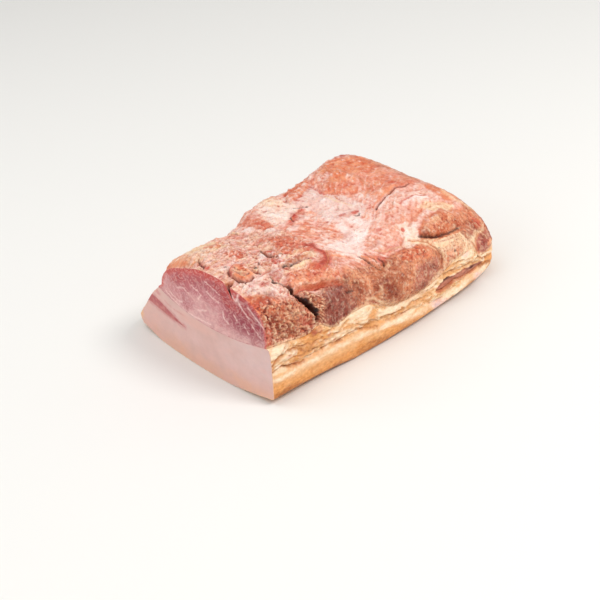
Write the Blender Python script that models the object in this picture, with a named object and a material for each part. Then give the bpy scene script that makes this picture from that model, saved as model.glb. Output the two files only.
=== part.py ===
"""A slab of cooked pork shoulder: a dome of lean muscle on a thick bed of fat.

The slab lies on its fat side. +X runs along its length, from the cut face to the rounded far
end, +Y points to the left side and +Z up. The shapes are worked out in millimetres, in a slab
frame whose x = 0 is a little behind the middle, and become metres about the row's own origin
at the middle of the footprint. Every cross-section is a loop in Y and Z that a row of the mesh
carries, and the two ends are cut or rounded by bending the rows.
"""
import math

import bmesh
import bpy
import numpy as np
from mathutils import Vector
from mathutils.geometry import delaunay_2d_cdt

MM = 0.001
ORIGIN = (-7.52, -2.72, 0.0)        # the row's origin in the slab frame, mm
GAP = 0.3                         # between touching pieces

# The slab's length, as stations before the ends are bent.
CUT_X = -125.0
END_X = 110.0
END_ROUND = 9.0                   # radius that rolls the sides into the far end

# The cut face leans back and swells a little towards its middle.
CUT_FOOT_X = -131.0
CUT_LEAN = 0.125
CUT_SWELL = 6.0
CUT_HALF_WIDTH = 98.0
# The far end bulges most at a quarter of the height.
END_FRONT_X = 116.0
END_BULGE_Z = 24.0

# The bed of fat.
# The underside is flat between these, and lifts beyond them. The flat is wider in the middle.
FLAT_LEFT = 42.0
FLAT_RIGHT = -45.0
FLAT_BULGE_LEFT = 10.0
FLAT_BULGE_RIGHT = 14.0
FLAT_MIDDLE_X = -8.0
FLAT_HALF_LENGTH = 120.0
LEFT_LIFT = 3.4
LEFT_LIFT_FULL = 78.0             # where the left edge has all its lift
RIGHT_LIFT_POWER = 1.2
END_LIFT_SHARE = 0.5              # of the far end's inset, which lifts the underside there
TIP_Z = 10.0                      # height of the left edge's tip
TIP_ROUND = 3.5                   # the edge turns under below the tip
LEDGE_CUT = 4.5                   # fat that shows beyond the lean on the right, at the cut
LEDGE_FAR = 1.5
INTERFACE_SAG = 6.6

# The thin layer of lean inside the fat, on the left.
STREAK_HALF = 3.7

# The short strip of lean that shows in a slot in the right wall.
STRIP_START = 34.0
STRIP_END = 90.0
STRIP_DEPTH = 13.0
STRIP_RECESS = 1.6
STRIP_ROWS = 15
STRIP_TIP_DEPTH = 4.0             # how far its two thin ends go in
CUTTER_REACH = 8.0                # how far the slot's cutter stands out of the wall

# The rows slant with the front crevice, about this station and distance from the foot.
CREVICE_MIDDLE = (-87.5, 28.0)
CREVICE_SLANT = 0.40
CREVICE_REACH = 24.0              # how far the slant is felt, along the slab and round it

# How finely the sheets are divided.
ROW_STEP = 5.6
FINE_ROW_STEP = 2.7
FINE_ROWS = (-99.0, -66.0)
FAR_ROWS = 30
ROLLED_ROWS = (25, 48, 70, 84)    # degrees round the far end's roll
RIGHT_COLUMNS = 21
LEFT_COLUMNS = 12
RIGHT_SHARE = 0.45                # share of the dome's girth that the right columns cover
INTERFACE_COLUMNS = 13
WALL_COLUMNS = 8
CAP_SPACING = 15.0
SECTION_STEPS = 600               # points along a section from which its length is measured
TURN_STEP = 1e-4                  # step along a section that gives its direction
RELIEF_FADE = 5.0                 # the dome's relief starts this far from either foot

FAT = (0.80, 0.55, 0.38)
LEAN = (0.50, 0.22, 0.17)
STREAK = (0.46, 0.12, 0.12)
STRIP = (0.33, 0.10, 0.07)


def clear_scene():
    for thing in list(bpy.data.objects):
        bpy.data.objects.remove(thing, do_unlink=True)


def make_material(name, colour, roughness):
    material = bpy.data.materials.new(name)
    material.use_nodes = True
    shader = material.node_tree.nodes["Principled BSDF"]
    shader.inputs["Base Color"].default_value = (*colour, 1.0)
    shader.inputs["Roughness"].default_value = roughness
    shader.inputs["Metallic"].default_value = 0.0
    return material


# ---- smooth rules ---------------------------------------------------------------------------

def curve(x, *knots):
    """A smooth curve through (place, value) knots that doesn't overshoot them."""
    place = np.array([knot[0] for knot in knots], float)
    value = np.array([knot[1] for knot in knots], float)
    rise = np.diff(value) / np.diff(place)
    slope = np.concatenate([rise[:1], rise[:-1], rise[-1:]])[:len(place)]
    slope[-1] = rise[-1]
    for i in range(1, len(place) - 1):
        before, after = rise[i - 1], rise[i]
        slope[i] = 0.0 if before * after <= 0 else 2 * before * after / (before + after)
    x = np.clip(np.asarray(x, float), place[0], place[-1])
    i = np.clip(np.searchsorted(place, x) - 1, 0, len(place) - 2)
    step = place[i + 1] - place[i]
    t = (x - place[i]) / step
    start = (2 * t**3 - 3 * t**2 + 1) * value[i] + (t**3 - 2 * t**2 + t) * step * slope[i]
    return start + (3 * t**2 - 2 * t**3) * value[i + 1] + (t**3 - t**2) * step * slope[i + 1]


def smooth(low, high, x):
    t = np.clip((np.asarray(x, float) - low) / (high - low), 0.0, 1.0)
    return t * t * (3 - 2 * t)


def to_path(x, s, path):
    """Distance to a path of (x, s) points, how far along it, and the signed side."""
    near = np.full(np.shape(x), 1e9)
    along = np.zeros(np.shape(x))
    side = np.zeros(np.shape(x))
    for i, (a, b) in enumerate(zip(path, path[1:])):
        dx, ds = b[0] - a[0], b[1] - a[1]
        length = math.hypot(dx, ds)
        t = np.clip(((x - a[0]) * dx + (s - a[1]) * ds) / length**2, 0.0, 1.0)
        away = np.hypot(x - a[0] - t * dx, s - a[1] - t * ds)
        closer = away < near
        cross = (dx * (s - a[1]) - ds * (x - a[0])) / length
        near = np.where(closer, away, near)
        along = np.where(closer, (i + t) / (len(path) - 1), along)
        side = np.where(closer, np.sign(cross), side)
    return near, along, side


def groove(x, s, path, width, depth):
    """A crease along a path. Width and depth are (at its start, at its end)."""
    near, along, _ = to_path(x, s, path)
    wide = width[0] + (width[1] - width[0]) * along
    deep = depth[0] + (depth[1] - depth[0]) * along
    return -deep * np.exp(-(near / wide)**2)


def ledge(x, s, path, drop, fade, lip=0.0):
    """A flap's edge: the surface drops on the path's right and rises back over a distance."""
    near, along, side = to_path(x, s, path)
    ends = np.sin(np.pi * np.clip(along, 0.02, 0.98))**0.6
    under = np.where(side < 0, smooth(0.0, 2.4, near) * np.exp(-near / fade), 0.0)
    over = np.where(side > 0, np.exp(-(near / (0.6 * fade))**2), 0.0)
    return (lip * over - drop * under) * ends


def mound(x, s, at, size, height, turn=0.0):
    """A rounded lump, or a hollow where the height is negative."""
    c, d = math.cos(math.radians(turn)), math.sin(math.radians(turn))
    u = ((x - at[0]) * c + (s - at[1]) * d) / size[0]
    v = ((s - at[1]) * c - (x - at[0]) * d) / size[1]
    return height * np.clip(1 - u**2 - v**2, 0.0, 1.0)**1.5


# ---- the slab's outline ---------------------------------------------------------------------

def cut_x(y, z):
    return CUT_FOOT_X + CUT_LEAN * np.clip(z, 0, 90) + CUT_SWELL * ((y + 10) / CUT_HALF_WIDTH)**2


def end_x(y, z):
    above = np.clip(z - END_BULGE_Z, 0, 99)
    below = np.clip(END_BULGE_Z - z, 0, 30)
    return END_FRONT_X - 0.008 * above**2 - 0.02 * below**2 - 5.0 * (y / 90)**4


def bend(x, y, z):
    """The true x of a point on station x: the stations follow the cut and the far end."""
    share = (x - CUT_X) / (END_X - CUT_X)
    return cut_x(y, z) * (1 - share) + end_x(y, z) * share


def end_inset(x):
    """How far the outer surfaces draw in, where the sides roll into the far end."""
    past = np.clip(np.asarray(x, float) - (END_X - END_ROUND), 0, END_ROUND)
    return END_ROUND - np.sqrt(END_ROUND**2 - past**2)


def right_edge(x):
    return curve(x, (-125, -96), (-90, -95.5), (-40, -96.5), (10, -98), (50, -96.5),
                 (80, -93.5), (98, -89), (110, -85)) + end_inset(x)


def left_edge(x):
    return curve(x, (-125, 81), (-60, 87), (20, 93), (80, 94), (110, 90)) - end_inset(x)


def ledge_width(x):
    return curve(x, (-125, LEDGE_CUT), (-95, 3.2), (-60, LEDGE_FAR), (110, LEDGE_FAR))


def right_foot_y(x):
    return right_edge(x) + ledge_width(x)


def right_foot_z(x):
    """Height where the lean meets the fat on the right: it dips under each muscle."""
    return curve(x, (-125, 43.5), (-105, 40.5), (-90, 38), (-79, 41), (-66, 34), (-48, 37),
                 (-35, 37), (-19, 29), (-8, 25), (20, 24.5), (37, 27), (50, 31), (64, 33),
                 (78, 33), (86, 22), (97, 20), (110, 22))


def left_foot_y(x):
    return curve(x, (-125, 42), (-105, 43), (-60, 44.5), (-46, 47.5), (-24, 60.5), (0, 65), (30, 68),
                 (90, 83), (110, 84)) - end_inset(x)


def left_foot_z(x):
    return curve(x, (-125, 47.5), (-60, 44), (20, 38), (110, 34))


def crest(x):
    return curve(x, (-125, 84.5), (-90, 81), (-50, 76), (0, 72), (50, 70), (90, 67),
                 (110, 63)) - end_inset(x)


def lean_over(x, y):
    """The top falls to the left at the cut, and rises to the left towards the far end."""
    left = curve(x, (-125, -11), (-90, -8), (-60, -2), (-30, 6), (20, 8), (60, 10), (110, 11))
    right = curve(x, (-125, 0), (-60, 0), (-30, 2), (20, 4), (60, 4.5), (110, 2))
    return (left * np.maximum(y, 0) + right * np.minimum(y, 0)) / 70


def interface_z(x, share):
    """The face between fat and lean, by the share of the way from right foot to left foot."""
    line = right_foot_z(x) * (1 - share) + left_foot_z(x) * share
    sag = curve(x, (-125, INTERFACE_SAG), (-60, 3.0), (110, 2.0))
    return line - 4 * sag * share * (1 - share)


def dome_section(x, t):
    """The lean's outside: t runs from the right foot (0) over the top to the left foot (1)."""
    turn = np.pi * t
    c, s = np.cos(turn), np.sin(turn)
    right, left = right_foot_y(x), left_foot_y(x)
    middle, half = (left + right) / 2, (left - right) / 2
    square_right = curve(x, (-125, 2.9), (-30, 2.8), (20, 2.5), (60, 2.1), (110, 2.0))
    square_left = curve(x, (-125, 2.4), (-60, 2.9), (110, 3.6))
    share = (1 + c) / 2
    power = 2 / (square_right * share + square_left * (1 - share))
    y = middle - half * np.sign(c) * np.abs(c)**power
    across = (y - right) / (left - right)
    foot = right_foot_z(x) * (1 - across) + left_foot_z(x) * across
    return y, foot + (crest(x) + lean_over(x, y) - foot) * np.abs(s)**power


# ---- relief ---------------------------------------------------------------------------------
# Places on the dome are (x, s): the station, and the distance round the section from the
# right foot. A height is positive outwards.

FLAP_EDGE = ((-92, 38), (-84, 31), (-72, 29.5), (-62, 33), (-53, 27), (-45, 22))
FRONT_CREVICE = ((-97, 52), (-92, 41), (-88, 29), (-83, 16), (-79, 5))
BACK_CREASE = ((41, 82), (47, 81), (55, 82.5), (66, 84), (78, 86), (88, 90), (103, 88))
LUMP_CREASE = ((42, 31), (47, 26), (53, 23), (62, 21.5), (72, 22.5), (84, 27))
CURL_EDGE = ((-37, 74), (-32, 64), (-34, 55), (-40, 48), (-50, 43))
SIDE_MUSCLE_END = ((28, 39), (38, 33), (43.5, 22), (46, 10), (42, 2))
MUSCLE_SEAM = ((33, 152), (31, 128), (36, 112), (38, 92))
NOTCH = ((-125, 62), (-118, 63), (-111, 66))
FOLD_CREASE = ((-14, 46), (-9, 37))

# Creases on the dome: path, width and depth at its start and at its end.
CREASES = (
    (FRONT_CREVICE, (2.2, 5.0), (2.5, 9.5)), (BACK_CREASE, (3.4, 3.0), (4.2, 2.6)),
    (LUMP_CREASE, (3.2, 3.4), (4.0, 3.0)), (SIDE_MUSCLE_END, (2.6, 2.6), (2.0, 2.6)),
    (MUSCLE_SEAM, (4.0, 4.0), (1.5, 1.8)), (NOTCH, (4.0, 3.0), (8.0, 1.5)),
    (FOLD_CREASE, (1.8, 1.8), (2.5, 3.0)),
)

# Lumps (+) and hollows (-) on the dome: place, half sizes, height, turn in degrees.
LUMPS = (
    ((-107, 24), (22, 26), 1.8, 0), ((-107, 68), (13, 13), 3.2, 0), ((-107, 68), (6.5, 6), -3.4, 0),
    ((-97, 66), (4.5, 4), -4.0, 0), ((-88, 103), (12, 11), 2.0, 0), ((-98, 152), (24, 16), 1.6, 0),
    ((-72, 75), (5.5, 5), -4.5, 0), ((-74, 55), (6, 3), -2.5, 25), ((-66, 162), (11, 22), -2.0, 0),
    ((-48, 58), (15, 15), 2.2, 0), ((-20, 160), (24, 18), 2.4, 0), ((-8, 39), (12, 7), 1.8, 12),
    ((-4, 70), (30, 16), -1.6, 38), ((-4, 172), (16, 20), 2.2, 0), ((6, 18), (42, 24), 3.0, 0),
    ((34, 176), (22, 16), -1.8, 0), ((66, 37), (25, 14), 3.6, -4), ((70, 91), (34, 9), 2.0, 0),
    ((72, 128), (34, 30), 1.6, 0), ((92, 30), (13, 16), -2.2, 0),
)


def dome_relief(x, s):
    """The lumps, creases and flaps of the lean's outside."""
    d = ledge(x, s, FLAP_EDGE, 7.5, 14.0, lip=2.2)
    d += ledge(x, s, CURL_EDGE, 3.2, 8.0, lip=1.6)
    for path, width, depth in CREASES:
        d += groove(x, s, path, width, depth)
    for at, size, height, turn in LUMPS:
        d += mound(x, s, at, size, height, turn)
    d += 0.9 * np.sin(0.115 * x + 0.6) * np.sin(0.09 * s + 0.02 * x)
    return d * smooth(0.0, RELIEF_FADE, s)


def rind_height(x):
    """Height of the smooth rounded band along the bottom of the right wall."""
    return curve(x, (-125, 23.5), (-98, 22), (-42, 20), (-23, 18), (-3, 14.5), (17, 11),
                 (38, 8), (60, 10), (80, 13), (110, 13))


def wall_relief(x, z):
    """Swell of the right wall: a rounded band below, pinched creases in the fat above it."""
    band = rind_height(x)
    d = 1.5 * np.exp(-((z - 0.55 * band) / (0.5 * band))**2)
    d -= 1.7 * np.exp(-((z - band - 1.5) / 2.2)**2)
    d += 0.8 * np.exp(-((z - band - 7.5) / 3.6)**2)
    d += 0.5 * np.sin(0.14 * x + 0.12 * z) * smooth(band, band + 6, z)
    return d * smooth(CUT_X, CUT_X + 8.0, x)


# ---- meshes ---------------------------------------------------------------------------------

def stations():
    """Rows along the slab, closer across the front crevice and the rounded end."""
    coarse_before = np.arange(CUT_X, FINE_ROWS[0], ROW_STEP)
    fine = np.arange(FINE_ROWS[0], FINE_ROWS[1], FINE_ROW_STEP)
    coarse_after = np.linspace(FINE_ROWS[1], END_X - END_ROUND, FAR_ROWS)
    rolled = END_X - END_ROUND * (1 - np.sin(np.radians(ROLLED_ROWS)))
    return np.concatenate([coarse_before, fine, coarse_after, rolled])


def add_points(mesh, x, y, z):
    """Vertices of a grid, bent to the ends and moved to the row's origin, in metres."""
    true_x = bend(x, y, z)
    corners = np.stack([true_x - ORIGIN[0], y - ORIGIN[1], z - ORIGIN[2]], -1) * MM
    return [[mesh.verts.new(corner) for corner in row] for row in corners]


def weld_column(mesh, grid, column, other, other_column):
    """Give one sheet's column the same vertices as another's."""
    for row, other_row in zip(grid, other):
        mesh.verts.remove(row[column])
        row[column] = other_row[other_column]


def sheet(mesh, grid):
    """Two triangles for each cell, always split along the same diagonal."""
    for row, above in zip(grid, grid[1:]):
        for j in range(len(row) - 1):
            mesh.faces.new((row[j], row[j + 1], above[j + 1]))
            mesh.faces.new((row[j], above[j + 1], above[j]))


def cap(mesh, loop, surface_x, spacing=CAP_SPACING):
    """Fill a section's loop with triangles that follow the cut or the far end."""
    flat = [Vector((v.co.y, v.co.z)) for v in loop]
    low = np.min(flat, axis=0)
    high = np.max(flat, axis=0)
    step = spacing * MM
    inside = [Vector((y, z)) for y in np.arange(low[0] + step / 2, high[0], step)
              for z in np.arange(low[1] + step / 2, high[1], step)]
    outline = list(range(len(flat)))
    inside = [p for p in inside if clear_of(p, flat, 0.45 * step) and encloses(flat, p)]
    result = delaunay_2d_cdt(flat + inside, [], [outline], 1, 1e-9)
    points, faces, origins = result[0], result[2], result[3]
    verts = []
    for point, origin in zip(points, origins):
        first = min(origin)
        if first < len(loop):
            verts.append(loop[first])
            continue
        y, z = point[0] / MM + ORIGIN[1], point[1] / MM + ORIGIN[2]
        verts.append(mesh.verts.new(((surface_x(y, z) - ORIGIN[0]) * MM, point[0], point[1])))
    for face in faces:
        mesh.faces.new([verts[i] for i in face])


def clear_of(point, outline, distance):
    return min((point - corner).length for corner in outline) > distance


def encloses(outline, point):
    """Whether a loop holds a point, by counting the edges that a ray from it crosses."""
    hits = 0
    for a, b in zip(outline, outline[1:] + outline[:1]):
        if (a.y > point.y) != (b.y > point.y):
            crossing = a.x + (point.y - a.y) * (b.x - a.x) / (b.y - a.y)
            hits += crossing > point.x
    return hits % 2 == 1


def finish(mesh, name, colour, roughness, smooth_angle=40):
    bmesh.ops.recalc_face_normals(mesh, faces=mesh.faces[:])
    data = bpy.data.meshes.new(name)
    mesh.to_mesh(data)
    mesh.free()
    data.shade_smooth()
    data.set_sharp_from_angle(angle=math.radians(smooth_angle))
    piece = bpy.data.objects.new(name, data)
    bpy.context.scene.collection.objects.link(piece)
    data.materials.append(make_material(name, colour, roughness))
    return piece


# ---- the pieces -----------------------------------------------------------------------------

def along_crevice(x, s):
    """Slant the rows near the front crevice, so that they run along it."""
    height = CREVICE_REACH * np.tanh((s - CREVICE_MIDDLE[1]) / CREVICE_REACH)
    height = height * smooth(0.0, 9.0, s)
    return x - CREVICE_SLANT * height * np.exp(-((x - CREVICE_MIDDLE[0]) / CREVICE_REACH)**2)


def dome_grid(x, columns):
    """Points of the lean's outside at even steps round each section, relief included."""
    table = np.linspace(0, 1, SECTION_STEPS)
    stations_grid, t = np.meshgrid(x, table, indexing="ij")
    y, z = dome_section(stations_grid, t)
    length = np.hypot(np.diff(y), np.diff(z)).cumsum(axis=1)
    length = np.concatenate([np.zeros((len(x), 1)), length], axis=1)
    s = length[:, -1:] * columns[None, :]
    pick = np.stack([np.interp(a, b, table) for a, b in zip(s, length)])
    across = along_crevice(np.repeat(x[:, None], len(columns), axis=1), s)
    y, z = dome_section(across, pick)
    after = dome_section(across, np.clip(pick + TURN_STEP, 0, 1))
    before = dome_section(across, np.clip(pick - TURN_STEP, 0, 1))
    dy, dz = after[0] - before[0], after[1] - before[1]
    size = np.hypot(dy, dz)
    lift = dome_relief(across, s) * smooth(0.0, RELIEF_FADE, length[:, -1:] - s)
    return across, y - dz / size * lift, z + dy / size * lift


def interface_grid(x, offset):
    share = np.linspace(0, 1, INTERFACE_COLUMNS + 1)
    across, share = np.meshgrid(x, share, indexing="ij")
    y = right_foot_y(across) * (1 - share) + left_foot_y(across) * share
    return across, y, interface_z(across, share) + offset


def make_lean(x):
    """The lean: a dome over the face it shares with the fat."""
    right = np.linspace(0, RIGHT_SHARE, RIGHT_COLUMNS + 1)[:-1]
    left = np.linspace(RIGHT_SHARE, 1, LEFT_COLUMNS + 1)
    mesh = bmesh.new()
    across, y, z = dome_grid(x, np.concatenate([right, left]))
    dome = add_points(mesh, across, y, z + GAP / 2)
    under = add_points(mesh, *interface_grid(x, GAP / 2))
    for corner in (0, -1):
        weld_column(mesh, under, corner, dome, corner)
    sheet(mesh, dome)
    sheet(mesh, under)
    for row, surface in ((0, cut_x), (-1, end_x)):
        cap(mesh, dome[row] + under[row][-2:0:-1], surface)
    return finish(mesh, "lean_meat", LEAN, 0.5)


def shelf_point(x, q):
    """The fat's left slope: q runs from the lean's left foot (0) down to the tip (1)."""
    top_y, top_z = left_foot_y(x), left_foot_z(x)
    tip_y = left_edge(x)
    run, fall = tip_y - top_y, top_z - TIP_Z
    length = np.hypot(run, fall)
    swell = 1.6 * np.sin(np.pi * q) + 0.7 * np.sin(0.09 * x + 5 * q) * np.sin(np.pi * q)
    return (top_y + run * q + fall / length * swell,
            top_z - fall * q + run / length * swell)


def streak_lips(x):
    """Where the left streak meets the slope, as shares of the slope's length."""
    thick = curve(x, (-125, 0.105), (0, 0.10), (110, 0.12))
    middle = curve(x, (-125, 0.41), (110, 0.46))
    return middle - thick, middle + thick


def streak_surface(x, w, side, offset):
    """A point on the streak's upper (+1) or lower (-1) face, from the slope (0) to its tip."""
    lips = streak_lips(x)
    lip_y, lip_z = shelf_point(x, lips[0] if side > 0 else lips[1])
    upper_y, upper_z = shelf_point(x, lips[0])
    lower_y, lower_z = shelf_point(x, lips[1])
    middle_y, middle_z = (upper_y + lower_y) / 2, (upper_z + lower_z) / 2
    inner_y = middle_y - curve(x, (-125, 54), (110, 46)) - offset
    inner_z = middle_z - curve(x, (-125, 6.6), (110, 1.0))
    straight_z = middle_z + (inner_z - middle_z) * w
    half = STREAK_HALF * (1 - w**1.6) + 0.3 * (1 - w)
    fade = (1 - w)**3
    y = (middle_y + (inner_y - middle_y) * w) * (1 - fade) + (lip_y + (inner_y - lip_y) * w) * fade
    z = (straight_z + side * (half + offset * (1 - w))) * (1 - fade)
    return y, z + fade * (lip_z + side * offset)


def streak_grid(x, side, offset, columns=6):
    across, w = np.meshgrid(x, np.linspace(0, 1, columns + 1), indexing="ij")
    y, z = streak_surface(across, w, side, offset)
    return across, y, z


def slope_grid(x, first, last, columns):
    """Part of the left slope, between two shares of its length for each station."""
    part = np.linspace(0, 1, columns + 1)
    across = np.repeat(x[:, None], columns + 1, axis=1)
    q = first[:, None] + (last - first)[:, None] * part[None, :]
    y, z = shelf_point(across, q)
    return across, y, z


def right_lift(x):
    """How far the bottom edge of the right wall stands off the surface."""
    return curve(x, (-125, 4.6), (-98, 3.4), (-76, 2.6), (-63, 1.7), (-43, 0), (-25, 0), (-8, 1),
                 (13, 1.7), (31, 2.6), (60, 3.4), (86, 4), (110, 5))


def flat_edges(x):
    """Where the flat of the underside ends, on the left and on the right."""
    bulge = 1 - ((x - FLAT_MIDDLE_X) / FLAT_HALF_LENGTH)**2
    return FLAT_LEFT + FLAT_BULGE_LEFT * bulge, FLAT_RIGHT - FLAT_BULGE_RIGHT * bulge


def base_lift(x, y):
    """How far the underside rises: towards both long edges and the far end."""
    flat_left, flat_right = flat_edges(x)
    left = LEFT_LIFT * smooth(0, 1, (y - flat_left) / (LEFT_LIFT_FULL - flat_left))
    beyond = np.clip((flat_right - y) / (flat_right - right_edge(x)), 0, 1)
    right = right_lift(x) * beyond**RIGHT_LIFT_POWER
    return left + right + end_inset(x) * END_LIFT_SHARE


def make_fat(x):
    """The bed of fat, with the slot for the left streak running through it."""
    mesh = bmesh.new()
    rows = len(x)
    interface = add_points(mesh, *interface_grid(x, -GAP / 2))
    upper_lip, lower_lip = streak_lips(x)
    slope_above = add_points(mesh, *slope_grid(x, np.zeros(rows), upper_lip, 2))
    slot_upper = add_points(mesh, *streak_grid(x, 1, GAP / 2))
    slot_lower = add_points(mesh, *streak_grid(x, -1, GAP / 2))
    slope_below = add_points(mesh, *slope_grid(x, lower_lip, np.ones(rows), 3))
    base = base_grid(mesh, x)
    wall = wall_grid(mesh, x)
    chain = [interface, slope_above, slot_upper, [row[::-1] for row in slot_lower],
             slope_below, base, wall]
    for grid, after in zip(chain, chain[1:] + chain[:1]):
        weld_column(mesh, after, 0, grid, -1)
    for grid in chain:
        sheet(mesh, grid)
    for row, surface in ((0, cut_x), (-1, end_x)):
        loop = [v for grid in chain for v in grid[row][:-1]]
        cap(mesh, loop, surface)
    return finish(mesh, "fat_layer", FAT, 0.45)


def base_grid(mesh, x):
    """The underside, from the left tip round under it to the right wall's bottom corner."""
    tip_y, tip_z = shelf_point(x, 1.0)
    start = left_edge(x) - 1.0
    stop = right_edge(x) + corner_radius(x)
    flat_left, flat_right = flat_edges(x)
    left = start[:, None] + (flat_left - start)[:, None] * np.array([0.0, 0.12, 0.45, 1.0])
    right = flat_right[:, None] + (stop - flat_right)[:, None] * np.array([0.0, 0.35, 0.7, 1.0])
    y = np.concatenate([tip_y[:, None], left, right], axis=1)
    across = np.repeat(x[:, None], y.shape[1], axis=1)
    z = base_lift(across, y)
    z[:, 0] = tip_z
    z[:, 1] = TIP_Z - TIP_ROUND
    return add_points(mesh, across, y, z)


def corner_radius(x):
    """Roundness of the right wall's bottom corner."""
    return curve(x, (-125, 2.0), (-100, 3.0), (110, 3.0))


def wall_grid(mesh, x):
    """The right wall, from the bottom corner up to the ledge and the lean's foot."""
    corner = corner_radius(x)
    turn = np.radians([0.0, 45.0, 90.0])
    low_y = (right_edge(x) + corner)[:, None] - corner[:, None] * np.sin(turn)
    low_z = corner[:, None] * (1 - np.cos(turn)) + base_lift(x[:, None], low_y)
    top = right_foot_z(x) - GAP / 2
    rise = np.linspace(0, 1, WALL_COLUMNS + 1)[1:]
    up_z = low_z[:, -1:] + (top - 1.0 - low_z[:, -1])[:, None] * rise
    up_y = np.repeat(right_edge(x)[:, None], len(rise), axis=1)
    up_y = up_y + 0.45 * ledge_width(x)[:, None] * rise**6
    foot_y, foot_z = right_foot_y(x)[:, None], top[:, None]
    y = np.concatenate([low_y, up_y, foot_y], axis=1)
    z = np.concatenate([low_z, up_z, foot_z], axis=1)
    across = np.repeat(x[:, None], y.shape[1], axis=1)
    fade = smooth(0.5, 4.0, z - low_z[:, :1]) * smooth(0.0, 5.0, foot_z - z)
    return add_points(mesh, across, y - wall_relief(across, z) * fade, z)


def make_left_streak(x):
    """The thin layer of lean that shows at the cut and runs back along the left slope."""
    mesh = bmesh.new()
    upper = add_points(mesh, *streak_grid(x, 1, -GAP / 2))
    lower = add_points(mesh, *streak_grid(x, -1, -GAP / 2))
    weld_column(mesh, lower, -1, upper, -1)
    face = [[lower_row[0], row[0]] for row, lower_row in zip(upper, lower)]
    for grid in (upper, lower, face):
        sheet(mesh, grid)
    for row, surface in ((0, cut_x), (-1, end_x)):
        cap(mesh, upper[row] + lower[row][-2::-1], surface)
    return finish(mesh, "lean_streak_left", STREAK, 0.4)


def strip_solid(name, grow, reach):
    """A flat tapering tongue along the right wall; it cuts its own slot when it is grown."""
    share = np.linspace(0, 1, STRIP_ROWS)
    x = STRIP_START - grow + (STRIP_END - STRIP_START + 2 * grow) * share
    middle = curve(x, (34, 18.6), (45, 19.6), (60, 18.2), (75, 17.0), (90, 15.0))
    swell = np.sin(np.pi * np.clip(share, 0.03, 0.97))**0.6
    half = (0.7 + 2.9 * swell) * (1 + 0.16 * np.sin(0.45 * x)) + grow
    outer = right_edge(x) + STRIP_RECESS - reach
    inner = right_edge(x) + STRIP_TIP_DEPTH + (STRIP_DEPTH - STRIP_TIP_DEPTH) * swell + grow
    turn = np.radians(np.arange(-90, 91, 30))
    round_y = (inner - half)[:, None] + half[:, None] * np.cos(turn)
    round_z = middle[:, None] + half[:, None] * np.sin(turn)
    y = np.concatenate([outer[:, None], round_y, outer[:, None]], axis=1)
    z = np.concatenate([round_z[:, :1], round_z, round_z[:, -1:]], axis=1)
    across = np.repeat(x[:, None], y.shape[1], axis=1)
    mesh = bmesh.new()
    ring = add_points(mesh, across, y, z)
    sheet(mesh, [row + row[:1] for row in ring])
    mesh.faces.new(ring[0])
    mesh.faces.new(ring[-1])
    return finish(mesh, name, STRIP, 0.5)


def make_right_strip(fat):
    """The recessed strip of dark lean near the far end, and its slot in the fat."""
    strip = strip_solid("lean_streak_right", 0.0, 0.0)
    cutter = strip_solid("slot_cutter", GAP, CUTTER_REACH)
    cutter.hide_render = True
    cutter.display_type = "WIRE"
    cut = fat.modifiers.new("slot", "BOOLEAN")
    cut.operation = "DIFFERENCE"
    cut.solver = "EXACT"
    cut.object = cutter
    return strip


def main():
    clear_scene()
    rows = stations()
    make_lean(rows)
    fat = make_fat(rows)
    make_left_streak(rows)
    make_right_strip(fat)


main()
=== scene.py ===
"""The looks of a slab of cooked pork shoulder: its skin, its cut face and its bed of fat.

Shapes are worked out in millimetres in the slab's own frame, where +X runs from the cut face to
the far end, +Y to the left side and +Z up. Places on the lean's outside are (x, s): the station
along the slab, and the distance round the section from the foot on the right. Places on the
right wall are (x, z), and on the two ends (y, z). Relief is positive outwards. Tints are values
from 0 to 1 painted on the vertices, and the materials mix their colours by them.
"""
import math

import bmesh
import bpy
import numpy as np
from mathutils import Matrix, Vector
from mathutils.geometry import delaunay_2d_cdt


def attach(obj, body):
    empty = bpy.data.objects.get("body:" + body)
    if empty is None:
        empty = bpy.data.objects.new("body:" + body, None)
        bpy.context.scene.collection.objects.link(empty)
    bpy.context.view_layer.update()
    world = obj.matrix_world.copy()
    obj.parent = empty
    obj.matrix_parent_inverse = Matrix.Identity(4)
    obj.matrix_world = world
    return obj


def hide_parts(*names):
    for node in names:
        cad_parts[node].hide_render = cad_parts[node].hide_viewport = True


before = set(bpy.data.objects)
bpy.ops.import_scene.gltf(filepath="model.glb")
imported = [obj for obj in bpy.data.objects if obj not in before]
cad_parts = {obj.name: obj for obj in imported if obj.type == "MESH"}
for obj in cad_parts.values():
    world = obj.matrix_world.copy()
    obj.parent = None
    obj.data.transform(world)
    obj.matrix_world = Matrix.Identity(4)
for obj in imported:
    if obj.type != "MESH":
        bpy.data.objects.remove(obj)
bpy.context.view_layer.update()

MM = 0.001
ORIGIN = (-7.52, -2.72, 0.0)        # the row's origin in the slab frame, mm

# ---- the slab's form, as in the solids, mm ---------------------------------------------------
CUT_X = -125.0                      # first station
END_X = 110.0                       # last station
END_ROUND = 9.0                     # radius that rolls the sides into the far end
# The cut face leans towards the viewer at its foot, and its two sides stand back.
CUT_FOOT_X = -131.0
CUT_LEAN = 0.125
CUT_TOP_Z = 90.0
CUT_SWELL = 6.0
CUT_MIDDLE_Y = -10.0
CUT_HALF_WIDTH = 98.0
# The far end bulges most at one height, and falls back above, below and to the sides.
END_FRONT_X = 116.0
END_BULGE_Z = 24.0
END_FALL_ABOVE = 0.008
END_FALL_BELOW = 0.02
END_FALL_SIDE = 5.0
END_HALF_WIDTH = 90.0
LEAN_OVER_Y = 70.0                  # how far out the top's slant across is measured
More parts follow.
